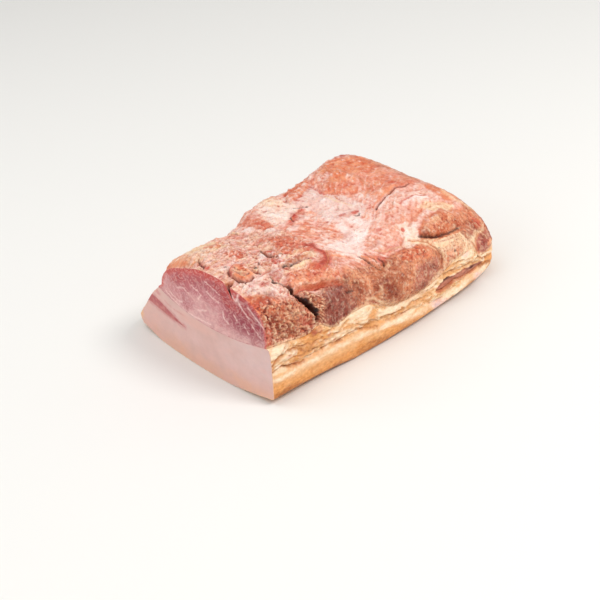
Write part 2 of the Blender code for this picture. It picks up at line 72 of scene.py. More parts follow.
# The underside is flat between these, and lifts beyond them. The flat is wider in the middle.
FLAT_LEFT = 42.0
FLAT_RIGHT = -45.0
FLAT_BULGE_LEFT = 10.0
FLAT_BULGE_RIGHT = 14.0
FLAT_MIDDLE_X = -8.0
FLAT_HALF_LENGTH = 120.0
LEFT_LIFT = 3.4
LEFT_LIFT_FULL = 78.0               # where the left edge has all its lift
RIGHT_LIFT_POWER = 1.2
END_LIFT_SHARE = 0.5                # of the far end's inset, which lifts the underside there
TIP_Z = 10.0                        # height of the left edge's tip
TIP_ROUND = 3.5                     # the edge turns under below the tip
TIP_INSET = 1.0                     # the underside starts this far in from it
RELIEF_FADE = 5.0                   # the dome's relief starts this far from the left foot
LEDGE_CUT = 4.5                     # fat that shows beyond the lean on the right, at the cut
LEDGE_FAR = 1.5
LEDGE_ROUND = 1.0                   # roundness of the ledge's outer edge
LEDGE_FOLD = 0.45                   # share of the ledge that the wall's top leans in by
INTERFACE_SAG = 6.6
SLOPE_LENGTH = 46.0
STREAK_HALF = 3.7
STRIP_START = 34.0
STRIP_END = 90.0
STRIP_DEPTH = 13.0
STRIP_RECESS = 1.6
STRIP_TIP_DEPTH = 4.0               # how far the strip's two thin ends go in
SLOT_TIP_DEPTH = 3.0                # and how far the slot's do
STRIP_CLEARANCE = 1.0               # between the strip's back and the slot's
STRIP_ROUND = 0.8                   # how far its front rolls back at its edges
GAP = 0.3                           # between touching pieces
NOTCH = ((-125, 62), (-122, 62.2), (-118, 63))
NOTCH_RUN = (-0.47, -0.88)          # the way the notch in the cut runs inwards, in y and z
NOTCH_DEPTH = 11.5

# ---- how finely the pieces are divided: distances in mm, and counts --------------------------
ROW_STEP = 0.72
SEEN_SHARE = 0.63                   # share of the dome's girth that gets the fine columns
SEEN_COLUMNS = 176
FAR_COLUMNS = 66
HIDDEN_COLUMNS = 14
WALL_COLUMNS = 62
UPPER_SLOPE_COLUMNS = 10            # between the lean's foot and the streak
LOWER_SLOPE_COLUMNS = 16            # between the streak and the tip
BASE_COLUMNS = (12, 14, 16)         # left of the flat, on it and right of it
SLOT_COLUMNS = 12
STREAK_LINE_POINTS = 60             # along each edge of the streak's section in the cut
STREAK_COLUMNS = 25
STREAK_ROW_STEP = 3                 # the left streak takes every third row
STREAK_FACE_COLUMNS = 9
STRIP_ROWS = 110
STRIP_FRONT_COLUMNS = 17
STRIP_BACK_COLUMNS = 9
ROLL_TURNS = range(6, 90, 6)        # degrees round the far end's roll
SECTION_STEPS = 700                 # points along a section from which its length is measured
CAP_STEP = 1.2                      # distance of the points that fill the cut and the far end
FINE_CAP_STEP = 0.9
CAP_ROW = 0.87                      # distance of a cap's rows of points, in steps
CAP_CLEARANCE = 0.55                # of its points from the outline, in steps
TURN_STEP = 1e-4                    # share of the girth over which a section's slope is taken
FAR_AWAY = 1e9


# ---- smooth rules ----------------------------------------------------------------------------

def curve(x, *knots):
    """A smooth curve through (place, value) knots that doesn't overshoot them."""
    place = np.array([knot[0] for knot in knots], float)
    value = np.array([knot[1] for knot in knots], float)
    rise = np.diff(value) / np.diff(place)
    slope = np.append(rise, rise[-1])
    for i in range(1, len(place) - 1):
        before, after = rise[i - 1], rise[i]
        slope[i] = 0.0 if before * after <= 0 else 2 * before * after / (before + after)
    x = np.clip(np.asarray(x, float), place[0], place[-1])
    i = np.clip(np.searchsorted(place, x) - 1, 0, len(place) - 2)
    step = place[i + 1] - place[i]
    t = (x - place[i]) / step
    start = (2 * t**3 - 3 * t**2 + 1) * value[i] + (t**3 - 2 * t**2 + t) * step * slope[i]
    return start + (3 * t**2 - 2 * t**3) * value[i + 1] + (t**3 - t**2) * step * slope[i + 1]


def unit(value):
    """A value kept between 0 and 1."""
    return np.clip(value, 0, 1)


def bell(value, power=2):
    """1 where the value is 0, and falling to 0 around it: the higher the power, the squarer."""
    return np.exp(-value**power)


def smooth(low, high, x):
    """A soft step from 0 at the low end to 1 at the high end."""
    t = unit((np.asarray(x, float) - low) / (high - low))
    return t * t * (3 - 2 * t)


def to_path(x, s, path):
    """Distance to a path of points, how far along it, and the signed side."""
    near = np.full(np.shape(x), FAR_AWAY)
    along = np.zeros(np.shape(x))
    side = np.zeros(np.shape(x))
    for i, (a, b) in enumerate(zip(path, path[1:])):
        dx, ds = b[0] - a[0], b[1] - a[1]
        length = math.hypot(dx, ds)
        t = unit(((x - a[0]) * dx + (s - a[1]) * ds) / length**2)
        away = np.hypot(x - a[0] - t * dx, s - a[1] - t * ds)
        closer = away < near
        cross = (dx * (s - a[1]) - ds * (x - a[0])) / length
        near = np.where(closer, away, near)
        along = np.where(closer, (i + t) / (len(path) - 1), along)
        side = np.where(closer, np.sign(cross), side)
    return near, along, side


def groove(x, s, path, width, depth):
    """A crease along a path. Width and depth are (at its start, at its end)."""
    near, along, _ = to_path(x, s, path)
    wide = width[0] + (width[1] - width[0]) * along
    deep = depth[0] + (depth[1] - depth[0]) * along
    return -deep * bell(near / wide)


def slanted(x, s, degrees, long, short):
    """Coordinates along and across a slanted direction, in units of a length and a width."""
    c, d = math.cos(math.radians(degrees)), math.sin(math.radians(degrees))
    return (x * c + s * d) / long, (s * c - x * d) / short


def mound(x, s, at, size, height, turn=0.0):
    """A rounded lump, or a hollow where the height is negative."""
    u, v = slanted(x - at[0], s - at[1], turn, *size)
    return height * unit(1 - u**2 - v**2)**1.5


# ---- uneven rules: the same numbers on every run ---------------------------------------------

WORD = 0xFFFFFFFF                   # 32 bits
CELL_STEPS = (374761393, 668265263, 144665)
STIRS = ((13, 1274126177), (16, 1103515245))
LAST_STIR = 15
NOISE_GAIN = 1.5
LAYER_SHIFT = (7.3, -4.1)
LAYER_FADE = 0.55


def hashed(i, j, seed):
    """A fixed number from 0 to 1 for each cell of a grid."""
    h = (i * CELL_STEPS[0] + j * CELL_STEPS[1] + seed * CELL_STEPS[2]) & WORD
    for shift, factor in STIRS:
        h = ((h ^ (h >> shift)) * factor) & WORD
    return (h ^ (h >> LAST_STIR)) / (WORD + 1.0)


def noise(u, v, seed):
    """Smooth noise from about -1 to 1, whose lumps are about one unit apart."""
    i, j = np.floor(u), np.floor(v)
    fu, fv = u - i, v - j
    i, j = i.astype(np.int64), j.astype(np.int64)
    wu = fu**3 * (fu * (fu * 6 - 15) + 10)
    wv = fv**3 * (fv * (fv * 6 - 15) + 10)
    total = np.zeros(np.shape(u))
    for a in (0, 1):
        for b in (0, 1):
            turn = 2 * np.pi * hashed(i + a, j + b, seed)
            slope = np.cos(turn) * (fu - a) + np.sin(turn) * (fv - b)
            total += slope * (wu if a else 1 - wu) * (wv if b else 1 - wv)
    return NOISE_GAIN * total


def layered(u, v, seed, layers=3):
    """Noise with finer and fainter noise on it."""
    total = np.zeros(np.shape(u))
    shift_u, shift_v = LAYER_SHIFT
    for k in range(layers):
        layer = noise(u * 2**k + shift_u * k, v * 2**k + shift_v * k, seed + k)
        total += layer * LAYER_FADE**k
    return total


def pillows(u, v, seed):
    """Rounded lumps with sharp creases between them: 0 in a crease, about 1 on a lump."""
    bent = 0.35 * noise(u * 1.7, v * 1.7, seed + 3)
    return unit(np.abs(noise(u + bent, v - bent, seed)) * 1.7)


def threads(u, v, seed):
    """Thin broken threads: 1 on a thread's line, 0 away from it."""
    line = unit(1 - 5.0 * np.abs(noise(u, v, seed)))
    return line * smooth(-0.15, 0.35, noise(u * 0.8 + 5, v * 0.8 - 3, seed + 1))


# ---- the slab's outline ----------------------------------------------------------------------

def cut_x(y, z):
    """The cut face."""
    across = (y - CUT_MIDDLE_Y) / CUT_HALF_WIDTH
    return CUT_FOOT_X + CUT_LEAN * np.clip(z, 0, CUT_TOP_Z) + CUT_SWELL * across**2


def end_x(y, z):
    """The face of the far end."""
    above = np.maximum(z - END_BULGE_Z, 0)
    below = np.maximum(END_BULGE_Z - z, 0)
    fall = END_FALL_ABOVE * above**2 + END_FALL_BELOW * below**2
    return END_FRONT_X - fall - END_FALL_SIDE * (y / END_HALF_WIDTH)**4


def bend(x, y, z):
    """The true x of a point on station x: the stations follow the cut and the far end."""
    share = (x - CUT_X) / (END_X - CUT_X)
    return cut_x(y, z) * (1 - share) + end_x(y, z) * share


def end_inset(x):
    """How far the outer surfaces draw in, where the sides roll into the far end."""
    past = np.clip(np.asarray(x, float) - (END_X - END_ROUND), 0, END_ROUND)
    return END_ROUND - np.sqrt(END_ROUND**2 - past**2)


def right_edge(x):
    """Where the right wall stands, in y."""
    return curve(x, (-125, -96), (-90, -95.5), (-40, -96.5), (10, -98), (50, -96.5),
                 (80, -93.5), (98, -89), (110, -85)) + end_inset(x)


def left_edge(x):
    """Where the tip of the left slope lies, in y."""
    return curve(x, (-125, 81), (-60, 87), (20, 93), (80, 94), (110, 90)) - end_inset(x)


def ledge_width(x):
    """How much fat shows beyond the lean on the right."""
    return curve(x, (-125, LEDGE_CUT), (-95, 3.2), (-60, LEDGE_FAR), (110, LEDGE_FAR))


def right_foot_y(x):
    """Where the lean's skin starts on the right, in y."""
    return right_edge(x) + ledge_width(x)


def right_foot_z(x):
    """Height where the lean meets the fat on the right: it dips under each muscle."""
    return curve(x, (-125, 43.5), (-105, 40.5), (-90, 38), (-79, 41), (-66, 34), (-48, 37),
                 (-35, 37), (-19, 29), (-8, 25), (20, 24.5), (37, 27), (50, 31), (64, 33),
                 (78, 33), (86, 22), (97, 20), (110, 22))


def left_foot_y(x):
    """Where the lean's skin ends on the left, in y."""
    return curve(x, (-125, 42), (-105, 43), (-60, 44.5), (-46, 47.5), (-24, 60.5), (0, 65),
                 (30, 68), (90, 83), (110, 84)) - end_inset(x)


def left_foot_z(x):
    """Height where the lean meets the fat on the left."""
    return curve(x, (-125, 47.5), (-60, 44), (20, 38), (110, 34))


def crest(x):
    """Height of the top above the middle line."""
    return curve(x, (-125, 84.5), (-90, 81), (-50, 76), (0, 72), (50, 70), (90, 67),
                 (110, 63)) - end_inset(x)


def lean_over(x, y):
    """The top falls to the left at the cut, and rises to the left towards the far end."""
    left = curve(x, (-125, -11), (-90, -8), (-60, -2), (-30, 6), (20, 8), (60, 10), (110, 11))
    right = curve(x, (-125, 0), (-60, 0), (-30, 2), (20, 4), (60, 4.5), (110, 2))
    return (left * np.maximum(y, 0) + right * np.minimum(y, 0)) / LEAN_OVER_Y


def interface_z(x, share):
    """The face between fat and lean, by the share of the way from right foot to left foot."""
    line = right_foot_z(x) * (1 - share) + left_foot_z(x) * share
    sag = curve(x, (-125, INTERFACE_SAG), (-60, 3.0), (110, 2.0))
    return line - 4 * sag * share * (1 - share)


def dome_section(x, t):
    """The lean's outside: t runs from the right foot (0) over the top to the left foot (1)."""
    turn = np.pi * t
    c, s = np.cos(turn), np.sin(turn)
    right, left = right_foot_y(x), left_foot_y(x)
    middle, half = (left + right) / 2, (left - right) / 2
    square_right = curve(x, (-125, 2.9), (-30, 2.8), (20, 2.5), (60, 2.1), (110, 2.0))
    square_left = curve(x, (-125, 2.4), (-60, 2.9), (110, 3.6))
    share = (1 + c) / 2
    power = 2 / (square_right * share + square_left * (1 - share))
    y = middle - half * np.sign(c) * np.abs(c)**power
    across = (y - right) / (left - right)
    foot = right_foot_z(x) * (1 - across) + left_foot_z(x) * across
    return y, foot + (crest(x) + lean_over(x, y) - foot) * np.abs(s)**power


def rind_height(x):
    """Height of the smooth rounded band along the bottom of the right wall."""
    return curve(x, (-125, 23.5), (-98, 22), (-42, 20), (-23, 18), (-3, 14.5), (17, 11),
                 (38, 8), (60, 10), (80, 13), (110, 13))


def shelf_point(x, q):
    """The fat's left slope: q runs from the lean's left foot (0) down to the tip (1)."""
    top_y, top_z = left_foot_y(x), left_foot_z(x)
    tip_y = left_edge(x)
    run, fall = tip_y - top_y, top_z - TIP_Z
    length = np.hypot(run, fall)
    swell = 1.6 * np.sin(np.pi * q) + 0.7 * np.sin(0.09 * x + 5 * q) * np.sin(np.pi * q)
    return (top_y + run * q + fall / length * swell,
            top_z - fall * q + run / length * swell)


def streak_lips(x):
    """Where the left streak meets the slope, as shares of the slope's length."""
    thick = curve(x, (-125, 0.105), (0, 0.10), (110, 0.12))
    middle = curve(x, (-125, 0.41), (110, 0.46))
    return middle - thick, middle + thick


def streak_surface(x, w, side):
    """A point on the streak's upper (+1) or lower (-1) face, from the slope (0) to its tip."""
    lips = streak_lips(x)
    lip_y, lip_z = shelf_point(x, lips[0] if side > 0 else lips[1])
    upper_y, upper_z = shelf_point(x, lips[0])
    lower_y, lower_z = shelf_point(x, lips[1])
    middle_y, middle_z = (upper_y + lower_y) / 2, (upper_z + lower_z) / 2
    inner_y = middle_y - curve(x, (-125, 54), (110, 46))
    inner_z = middle_z - curve(x, (-125, 6.6), (110, 1.0))
    straight_z = middle_z + (inner_z - middle_z) * w
    half = STREAK_HALF * (1 - w**1.6) + 0.3 * (1 - w)
    fade = (1 - w)**3
    y = (middle_y + (inner_y - middle_y) * w) * (1 - fade) + (lip_y + (inner_y - lip_y) * w) * fade
    return y, (straight_z + side * half) * (1 - fade) + fade * lip_z


def right_lift(x):
    """How far the bottom edge of the right wall stands off the surface."""
    return curve(x, (-125, 4.6), (-98, 3.4), (-76, 2.6), (-63, 1.7), (-43, 0), (-25, 0), (-8, 1),
                 (13, 1.7), (31, 2.6), (60, 3.4), (86, 4), (110, 5))


def flat_edges(x):
    """Where the flat of the underside ends, on the left and on the right."""
    bulge = 1 - ((x - FLAT_MIDDLE_X) / FLAT_HALF_LENGTH)**2
    return FLAT_LEFT + FLAT_BULGE_LEFT * bulge, FLAT_RIGHT - FLAT_BULGE_RIGHT * bulge


def base_lift(x, y):
    """How far the underside rises: towards both long edges and the far end."""
    flat_left, flat_right = flat_edges(x)
    left = LEFT_LIFT * smooth(0, 1, (y - flat_left) / (LEFT_LIFT_FULL - flat_left))
    beyond = unit((flat_right - y) / (flat_right - right_edge(x)))
    right = right_lift(x) * beyond**RIGHT_LIFT_POWER
    return left + right + end_inset(x) * END_LIFT_SHARE


def corner_radius(x):
    """Roundness of the right wall's bottom corner."""
    return curve(x, (-125, 2.0), (-100, 3.0), (110, 3.0))


# ---- the lean's skin: forms that the solids have too -----------------------------------------

MUSCLE_SEAM = ((33, 152), (31, 128), (36, 112), (38, 92))

# Lumps (+) and hollows (-) on the dome: place, half sizes, height, turn in degrees.
LUMPS = (
    ((-107, 24), (22, 26), 1.8), ((-107, 68), (13, 13), 3.2), ((-107, 68), (6.5, 6), -3.4),
    ((-97, 66), (4.5, 4), -4), ((-88, 103), (12, 11), 2), ((-98, 152), (24, 16), 1.6),
    ((-72, 75), (5.5, 5), -4.5), ((-74, 55), (6, 3), -2.5, 25), ((-66, 162), (11, 22), -2),
    ((-48, 58), (15, 15), 2.2), ((-20, 160), (24, 18), 2.4), ((-8, 39), (12, 7), 1.8, 12),
    ((-4, 70), (30, 16), -1.6, 38), ((-4, 172), (16, 20), 2.2), ((6, 18), (42, 24), 3),
    ((34, 176), (22, 16), -1.8), ((66, 37), (25, 14), 3.6, -4), ((70, 91), (34, 9), 2),
    ((72, 128), (34, 30), 1.6), ((92, 30), (13, 16), -2.2),
)


def notch_depth(x, s):
    """How deep the notch at the cut goes in, mm."""
    near, along, _ = to_path(x, s, NOTCH)
    return NOTCH_DEPTH * (1 - smooth(0.0, 0.9, along)) * bell(near / 1.7, 1.5)


def wall_relief(x, z):
    """Swell of the right wall: a rounded band below, pinched creases in the fat above it."""
    band = rind_height(x)
    d = 1.5 * bell((z - 0.55 * band) / (0.5 * band))
    d -= 1.7 * bell((z - band - 1.5) / 2.2)
    d += 0.8 * bell((z - band - 7.5) / 3.6)
    d += 0.5 * np.sin(0.14 * x + 0.12 * z) * smooth(band, band + 6, z)
    return d * smooth(CUT_X, CUT_X + 8.0, x)


# ---- sculpting and painting ------------------------------------------------------------------

WANDER_SIZE = 5.0                   # mm
WANDER_SEEDS = (900, 950)
PATCH_EDGE = (0.5, 1.4)             # where a patch starts to fade and where it ends, in half sizes
PATCH_CALM = 0.4                    # how much of the roughness a patch takes away
LINE_CALM = 0.8
CREASE_POWER = 1.5                  # sharpness of a crease's bottom
CREASE_PAINT = 0.75                 # width of a crease's colour, by its own


class Surface:
    """Places on a surface, with the relief raised on them in mm and the tints painted on them.

    A tint is how much of the surface it covers, from 0 to 1. What is painted later covers what
    was there. The places wander a little, so that no feature has a ruled edge.
    """

    def __init__(self, x, s, names, wander=1.0, seed=0):
        u, v = x / WANDER_SIZE, s / WANDER_SIZE
        self.x = x + wander * layered(u, v, WANDER_SEEDS[0] + seed)
        self.s = s + wander * layered(u, v, WANDER_SEEDS[1] + seed)
        self.lift = np.zeros(np.shape(x))
        self.tint = {name: np.zeros(np.shape(x)) for name in names}

    def add(self, name, amount):
        """Paint a share of each place in a tint, over the others."""
        amount = unit(amount)
        for other in self.tint:
            if other not in (name, "rough"):
                self.tint[other] = self.tint[other] * (1 - amount)
        self.tint[name] = 1 - (1 - self.tint[name]) * (1 - amount)

    def roughen(self, amount):
        """Say where the surface is rough."""
        self.tint["rough"] = unit(amount)

    def calm(self, amount):
        """Take away the roughness where a feature lies."""
        if "rough" in self.tint:
            self.tint["rough"] = self.tint["rough"] * (1 - unit(amount))

    def settled(self):
        """The coverages as the materials lay them: one over another, in the order of the names."""
        over = np.zeros(np.shape(self.lift))
        result = {}
        for name in reversed(list(self.tint)):
            value = self.tint[name]
            result[name] = value if name == "rough" else value / np.maximum(1 - over, 0.02)
            over = over if name == "rough" else over + value
        return result

    def patch(self, name, at, size, strength=1.0, turn=0.0, height=0.0):
        """An oval patch that fades over the outer half of its size, and can be a lump too."""
        u, v = slanted(self.x - at[0], self.s - at[1], turn, *size)
        inside = 1 - smooth(*PATCH_EDGE, np.hypot(u, v))
        self.lift += height * inside
        self.add(name, strength * inside)
        self.calm(PATCH_CALM * strength * inside)

    def area(self, outline, tints, soft, height, reach):
        """Fill a closed outline, and raise it as a plateau with a rounded edge."""
        line = np.array(outline, float)
        away = distance_to_loop(self.x, self.s, line)
        away = np.where(within(self.x, self.s, line), away, -away)
        inside = smooth(-soft, soft, away)
        self.lift += height * smooth(-0.5, reach, away)
        for name, strength in tints:
            self.add(name, strength * inside)
        return inside

    def line(self, name, path, width, strength=1.0, height=0.0):
        """A line along a path, and a ridge or a groove too. Width is at its start and end."""
        near, along, _ = to_path(self.x, self.s, path)
        wide = width[0] + (width[1] - width[0]) * along
        inside = bell(near / wide)
        self.lift += height * inside
        self.add(name, strength * inside)
        self.calm(LINE_CALM * strength * inside)

    def crease(self, name, path, depths, strength, right, left=None):
        """A sharp fold with a width on each side, and depths spaced evenly along it."""
        near, along, side = to_path(self.x, self.s, path)
        wide = np.where(side < 0, right, right if left is None else left)
        inside = bell(near / wide, CREASE_POWER)
        self.lift -= np.interp(along, np.linspace(0, 1, len(depths)), depths) * inside
        # the tint laid along the fold darkens it: painted shade
        self.add(name, strength * bell(near / (CREASE_PAINT * wide)))

    def overhang(self, path, drop, lip, slope, reach):
        """A flap's edge: the surface on the path's right lies lower and rises back slowly."""
        near, along, side = to_path(self.x, self.s, path)
        away = near * np.where(side < 0, -1, 1)
        ends = np.sin(np.pi * np.clip(along, 0.02, 0.98))**0.5
        above = smooth(-slope, slope, away)
        low = -drop * (1 - above) * np.exp(-np.clip(-away, 0, None) / reach)
        high = lip * above * bell(np.clip(away, 0, None) / (0.6 * reach))
        self.lift += (low + high) * ends
        return away, ends


SKIN_TINTS = ("orange", "white", "brown", "mauve", "cream", "red", "umber", "dark", "rough")
CUT_TINTS = ("pale", "deep", "rim", "seam")
FAT_TINTS = ("tan", "burnt", "bright", "rosy", "lilac", "low", "lean")
STREAK_TINTS = ("core", "edge")


def hollows(lift, reach):
    """How far each place of a grid lies below the average around it, mm."""
    average = lift
    for axis in (0, 1):
        last = lift.shape[axis] - 1
        near = [np.clip(np.arange(last + 1) + k, 0, last) for k in range(-reach, reach + 1)]
        average = sum(np.take(average, places, axis) for places in near) / len(near)
    return average - lift


# Closed outlines on the dome: the outline, the tints and their coverage, the softness of the
# edge, the height as a plateau, and how far in from the edge that height is reached.
DOME_AREAS = (
    # the far top
    (((69, 123), (98, 134), (101, 111), (103, 88), (78, 86), (55, 83), (59, 108)),
     (("orange", 0.55), ("red", 0.18)), 4, 0.6, 6),
    (((56, 164), (87, 173), (106, 154), (100, 136), (78, 126), (64, 139)), (("orange", 0.95),
     ("red", 0.2)), 4, 0.4, 6),
    (((43, 147), (60, 135), (63, 120), (54, 107), (41, 117), (35, 134)), (("red", 0.35),
     ("orange", 0.6)), 5, 1.3, 6),
    (((3, 156), (38, 163), (33, 133), (41, 114), (43, 90), (28, 83), (7, 86), (1, 100), (7, 120),
     (2, 134)), (("white", 0.55), ("mauve", 0.14)), 1.6, 1.3, 4),
    (((1, 144), (14, 168), (36, 178), (44, 168), (34, 154), (14, 143)), (("orange", 0.95),
     ("red", 0.45)), 1.2, 1.2, 3),
    (((62, 83), (80, 81), (95, 77), (102, 61), (93, 56), (70, 57), (54, 68)), (("orange", 0.45),
     ("white", 0.35)), 1.5, 1.6, 4),
    (((100, 83), (108, 62), (106, 48), (95, 54), (96, 71)), (("orange", 0.85), ("brown", 0.2)),
     1.6, 0.8, 3),
    (((70, 55), (89, 57), (95, 46), (74, 40)), (("cream", 0.75),), 1.6, -0.3, 3),
    # the far right
    (((44, 36), (57, 40), (75, 40), (91, 45), (95, 37), (82, 26), (64, 21), (49, 27)),
     (("brown", 0.62), ("orange", 0.6)), 1.3, 2.2, 5),
    (((43, 30), (61, 18), (84, 17), (84, 8), (59, 9), (43, 20)), (("cream", 0.92), ), 1.2, -0.4,
     3),
    (((47, 6), (54, 14), (66, 14), (74, 10), (71, 5), (57, 2)), (("orange", 0.45), ("mauve", 0.2)),
     1.2, 0.4, 2),
    (((91, 32), (102, 24), (90, 16), (77, 8), (76, 15), (84, 24)), (("brown", 0.75),
     ("mauve", 0.55)), 1.3, 1, 3),
    (((95, 41), (107, 28), (108, 16), (94, 17), (94, 30)), (("brown", 0.6), ("orange", 0.55),
     ("red", 0.3)), 1.4, 0.9, 3),
    (((87, 12), (94, 16), (105, 14), (105, 3), (94, 1), (85, 4)), (("mauve", 0.9), ("red", 0.45)),
     1, 1.4, 3),
    # the pale middle
    (((20, 71), (37, 77), (54, 68), (62, 52), (47, 46), (33, 45), (17, 38), (-2, 45), (0, 57)),
     (("orange", 0.3), ("white", 0.15)), 1.5, 1.5, 5),
    (((32, 55), (47, 48), (45, 38), (38, 31), (25, 32), (23, 38), (30, 43)), (("white", 0.85),
     ("cream", 0.5)), 1.3, -0.4, 3),
    (((-27, 63), (1, 74), (22, 83), (26, 75), (4, 61), (-14, 49), (-29, 50)), (("white", 0.92), ),
     4, -0.5, 4),
    # the side muscle and the one before it
    (((-16, 28), (-3, 37), (20, 36), (38, 29), (47, 17), (44, 7), (38, 1), (-17, 0), (-27, 6),
     (-24, 19)), (("brown", 0.8), ), 1.2, 2.6, 6),
    (((12, 36), (37, 30), (45, 20), (38, 18), (21, 24), (8, 30)), (("orange", 0.85), ("red", 0.4)),
     1.6, 0.4, 3),
    (((19, 21), (43, 14), (38, 1), (20, 2), (6, 10)), (("mauve", 0.75),), 2.5, 0, 3),
    # the flap and the curled edge behind it
    (((-89, 39), (-71, 50), (-53, 50), (-46, 39), (-45, 27), (-52, 29), (-68, 36), (-85, 34)),
     (("orange", 0.85), ("white", 0.12)), 2, 0.8, 4),
    (((-74, 44), (-58, 47), (-48, 38), (-60, 37), (-72, 38)), (("red", 0.55),), 3, 0, 3),
    # the left side
    (((-46, 156), (-34, 148), (-31, 118), (-36, 110), (-44, 122)), (("red", 0.6), ("orange", 0.5)),
     1.5, 1, 3),
    (((-52, 103), (-34, 91), (-37, 66), (-47, 63), (-58, 70), (-61, 80)), (("red", 0.7),
     ("orange", 0.5)), 1.5, 1.2, 3),
    (((-24, 114), (-10, 104), (-22, 78), (-33, 84), (-36, 98)), (("red", 0.25), ("orange", 0.45)),
     1.5, 1, 3),
    (((-15, 170), (5, 153), (1, 134), (-21, 117), (-33, 114), (-28, 140)), (("cream", 0.55),
     ("white", 0.7)), 2, -0.4, 3),
    (((-9, 135), (3, 127), (-6, 117), (-17, 116)), (("mauve", 0.25), ("red", 0.25)), 1, -0.5,
     2),
    (((-97, 102), (-84, 100), (-82, 90), (-96, 88)), (("orange", 0.6), ("red", 0.62)), 1.2, 1.2,
     2.5),
    (((-125, 150), (-122, 108), (-113, 112), (-104, 160), (-116, 175)), (("cream", 0.8),
     ("orange", 0.72)), 2, 0.6, 4),
    (((-118, 106), (-100, 109), (-84, 112), (-82, 138), (-88, 150), (-104, 156)), (("cream", 0.8),
     ), 3, 0, 3),
    (((-95, 134), (-88, 131), (-86, 119), (-92, 115), (-97, 124)), (("orange", 1),
     ("brown", 0.6)), 1, 0.8, 2),
    (((-106, 128), (-97, 114), (-104, 104), (-116, 112), (-115, 126)), (("red", 0.3),
     ("white", 0.4)), 2, 0.8, 3),
    # the front lump
    (((-125, 44), (-113, 39), (-102, 27), (-106, 22), (-114, 25), (-125, 30)), (("orange", 0.95),
     ("red", 0.3)), 2, 0.5, 3),
    (((-119, 57), (-104, 52), (-96, 40), (-108, 37), (-121, 46)), (("white", 0.55), ), 3.5, 0.3,
     3),
)

COIL_MIDDLE = (-108.5, 66.0)
CURL = ((-35, 68), (-38.6, 61), (-37, 53), (-39.3, 48), (-44.4, 44.5), (-50, 43.5))
BACK_CREASE = ((42.5, 80.6), (48, 81), (55, 81.9), (62, 83), (69, 84.2), (76, 85.8), (84, 88),
               (92, 89.6))

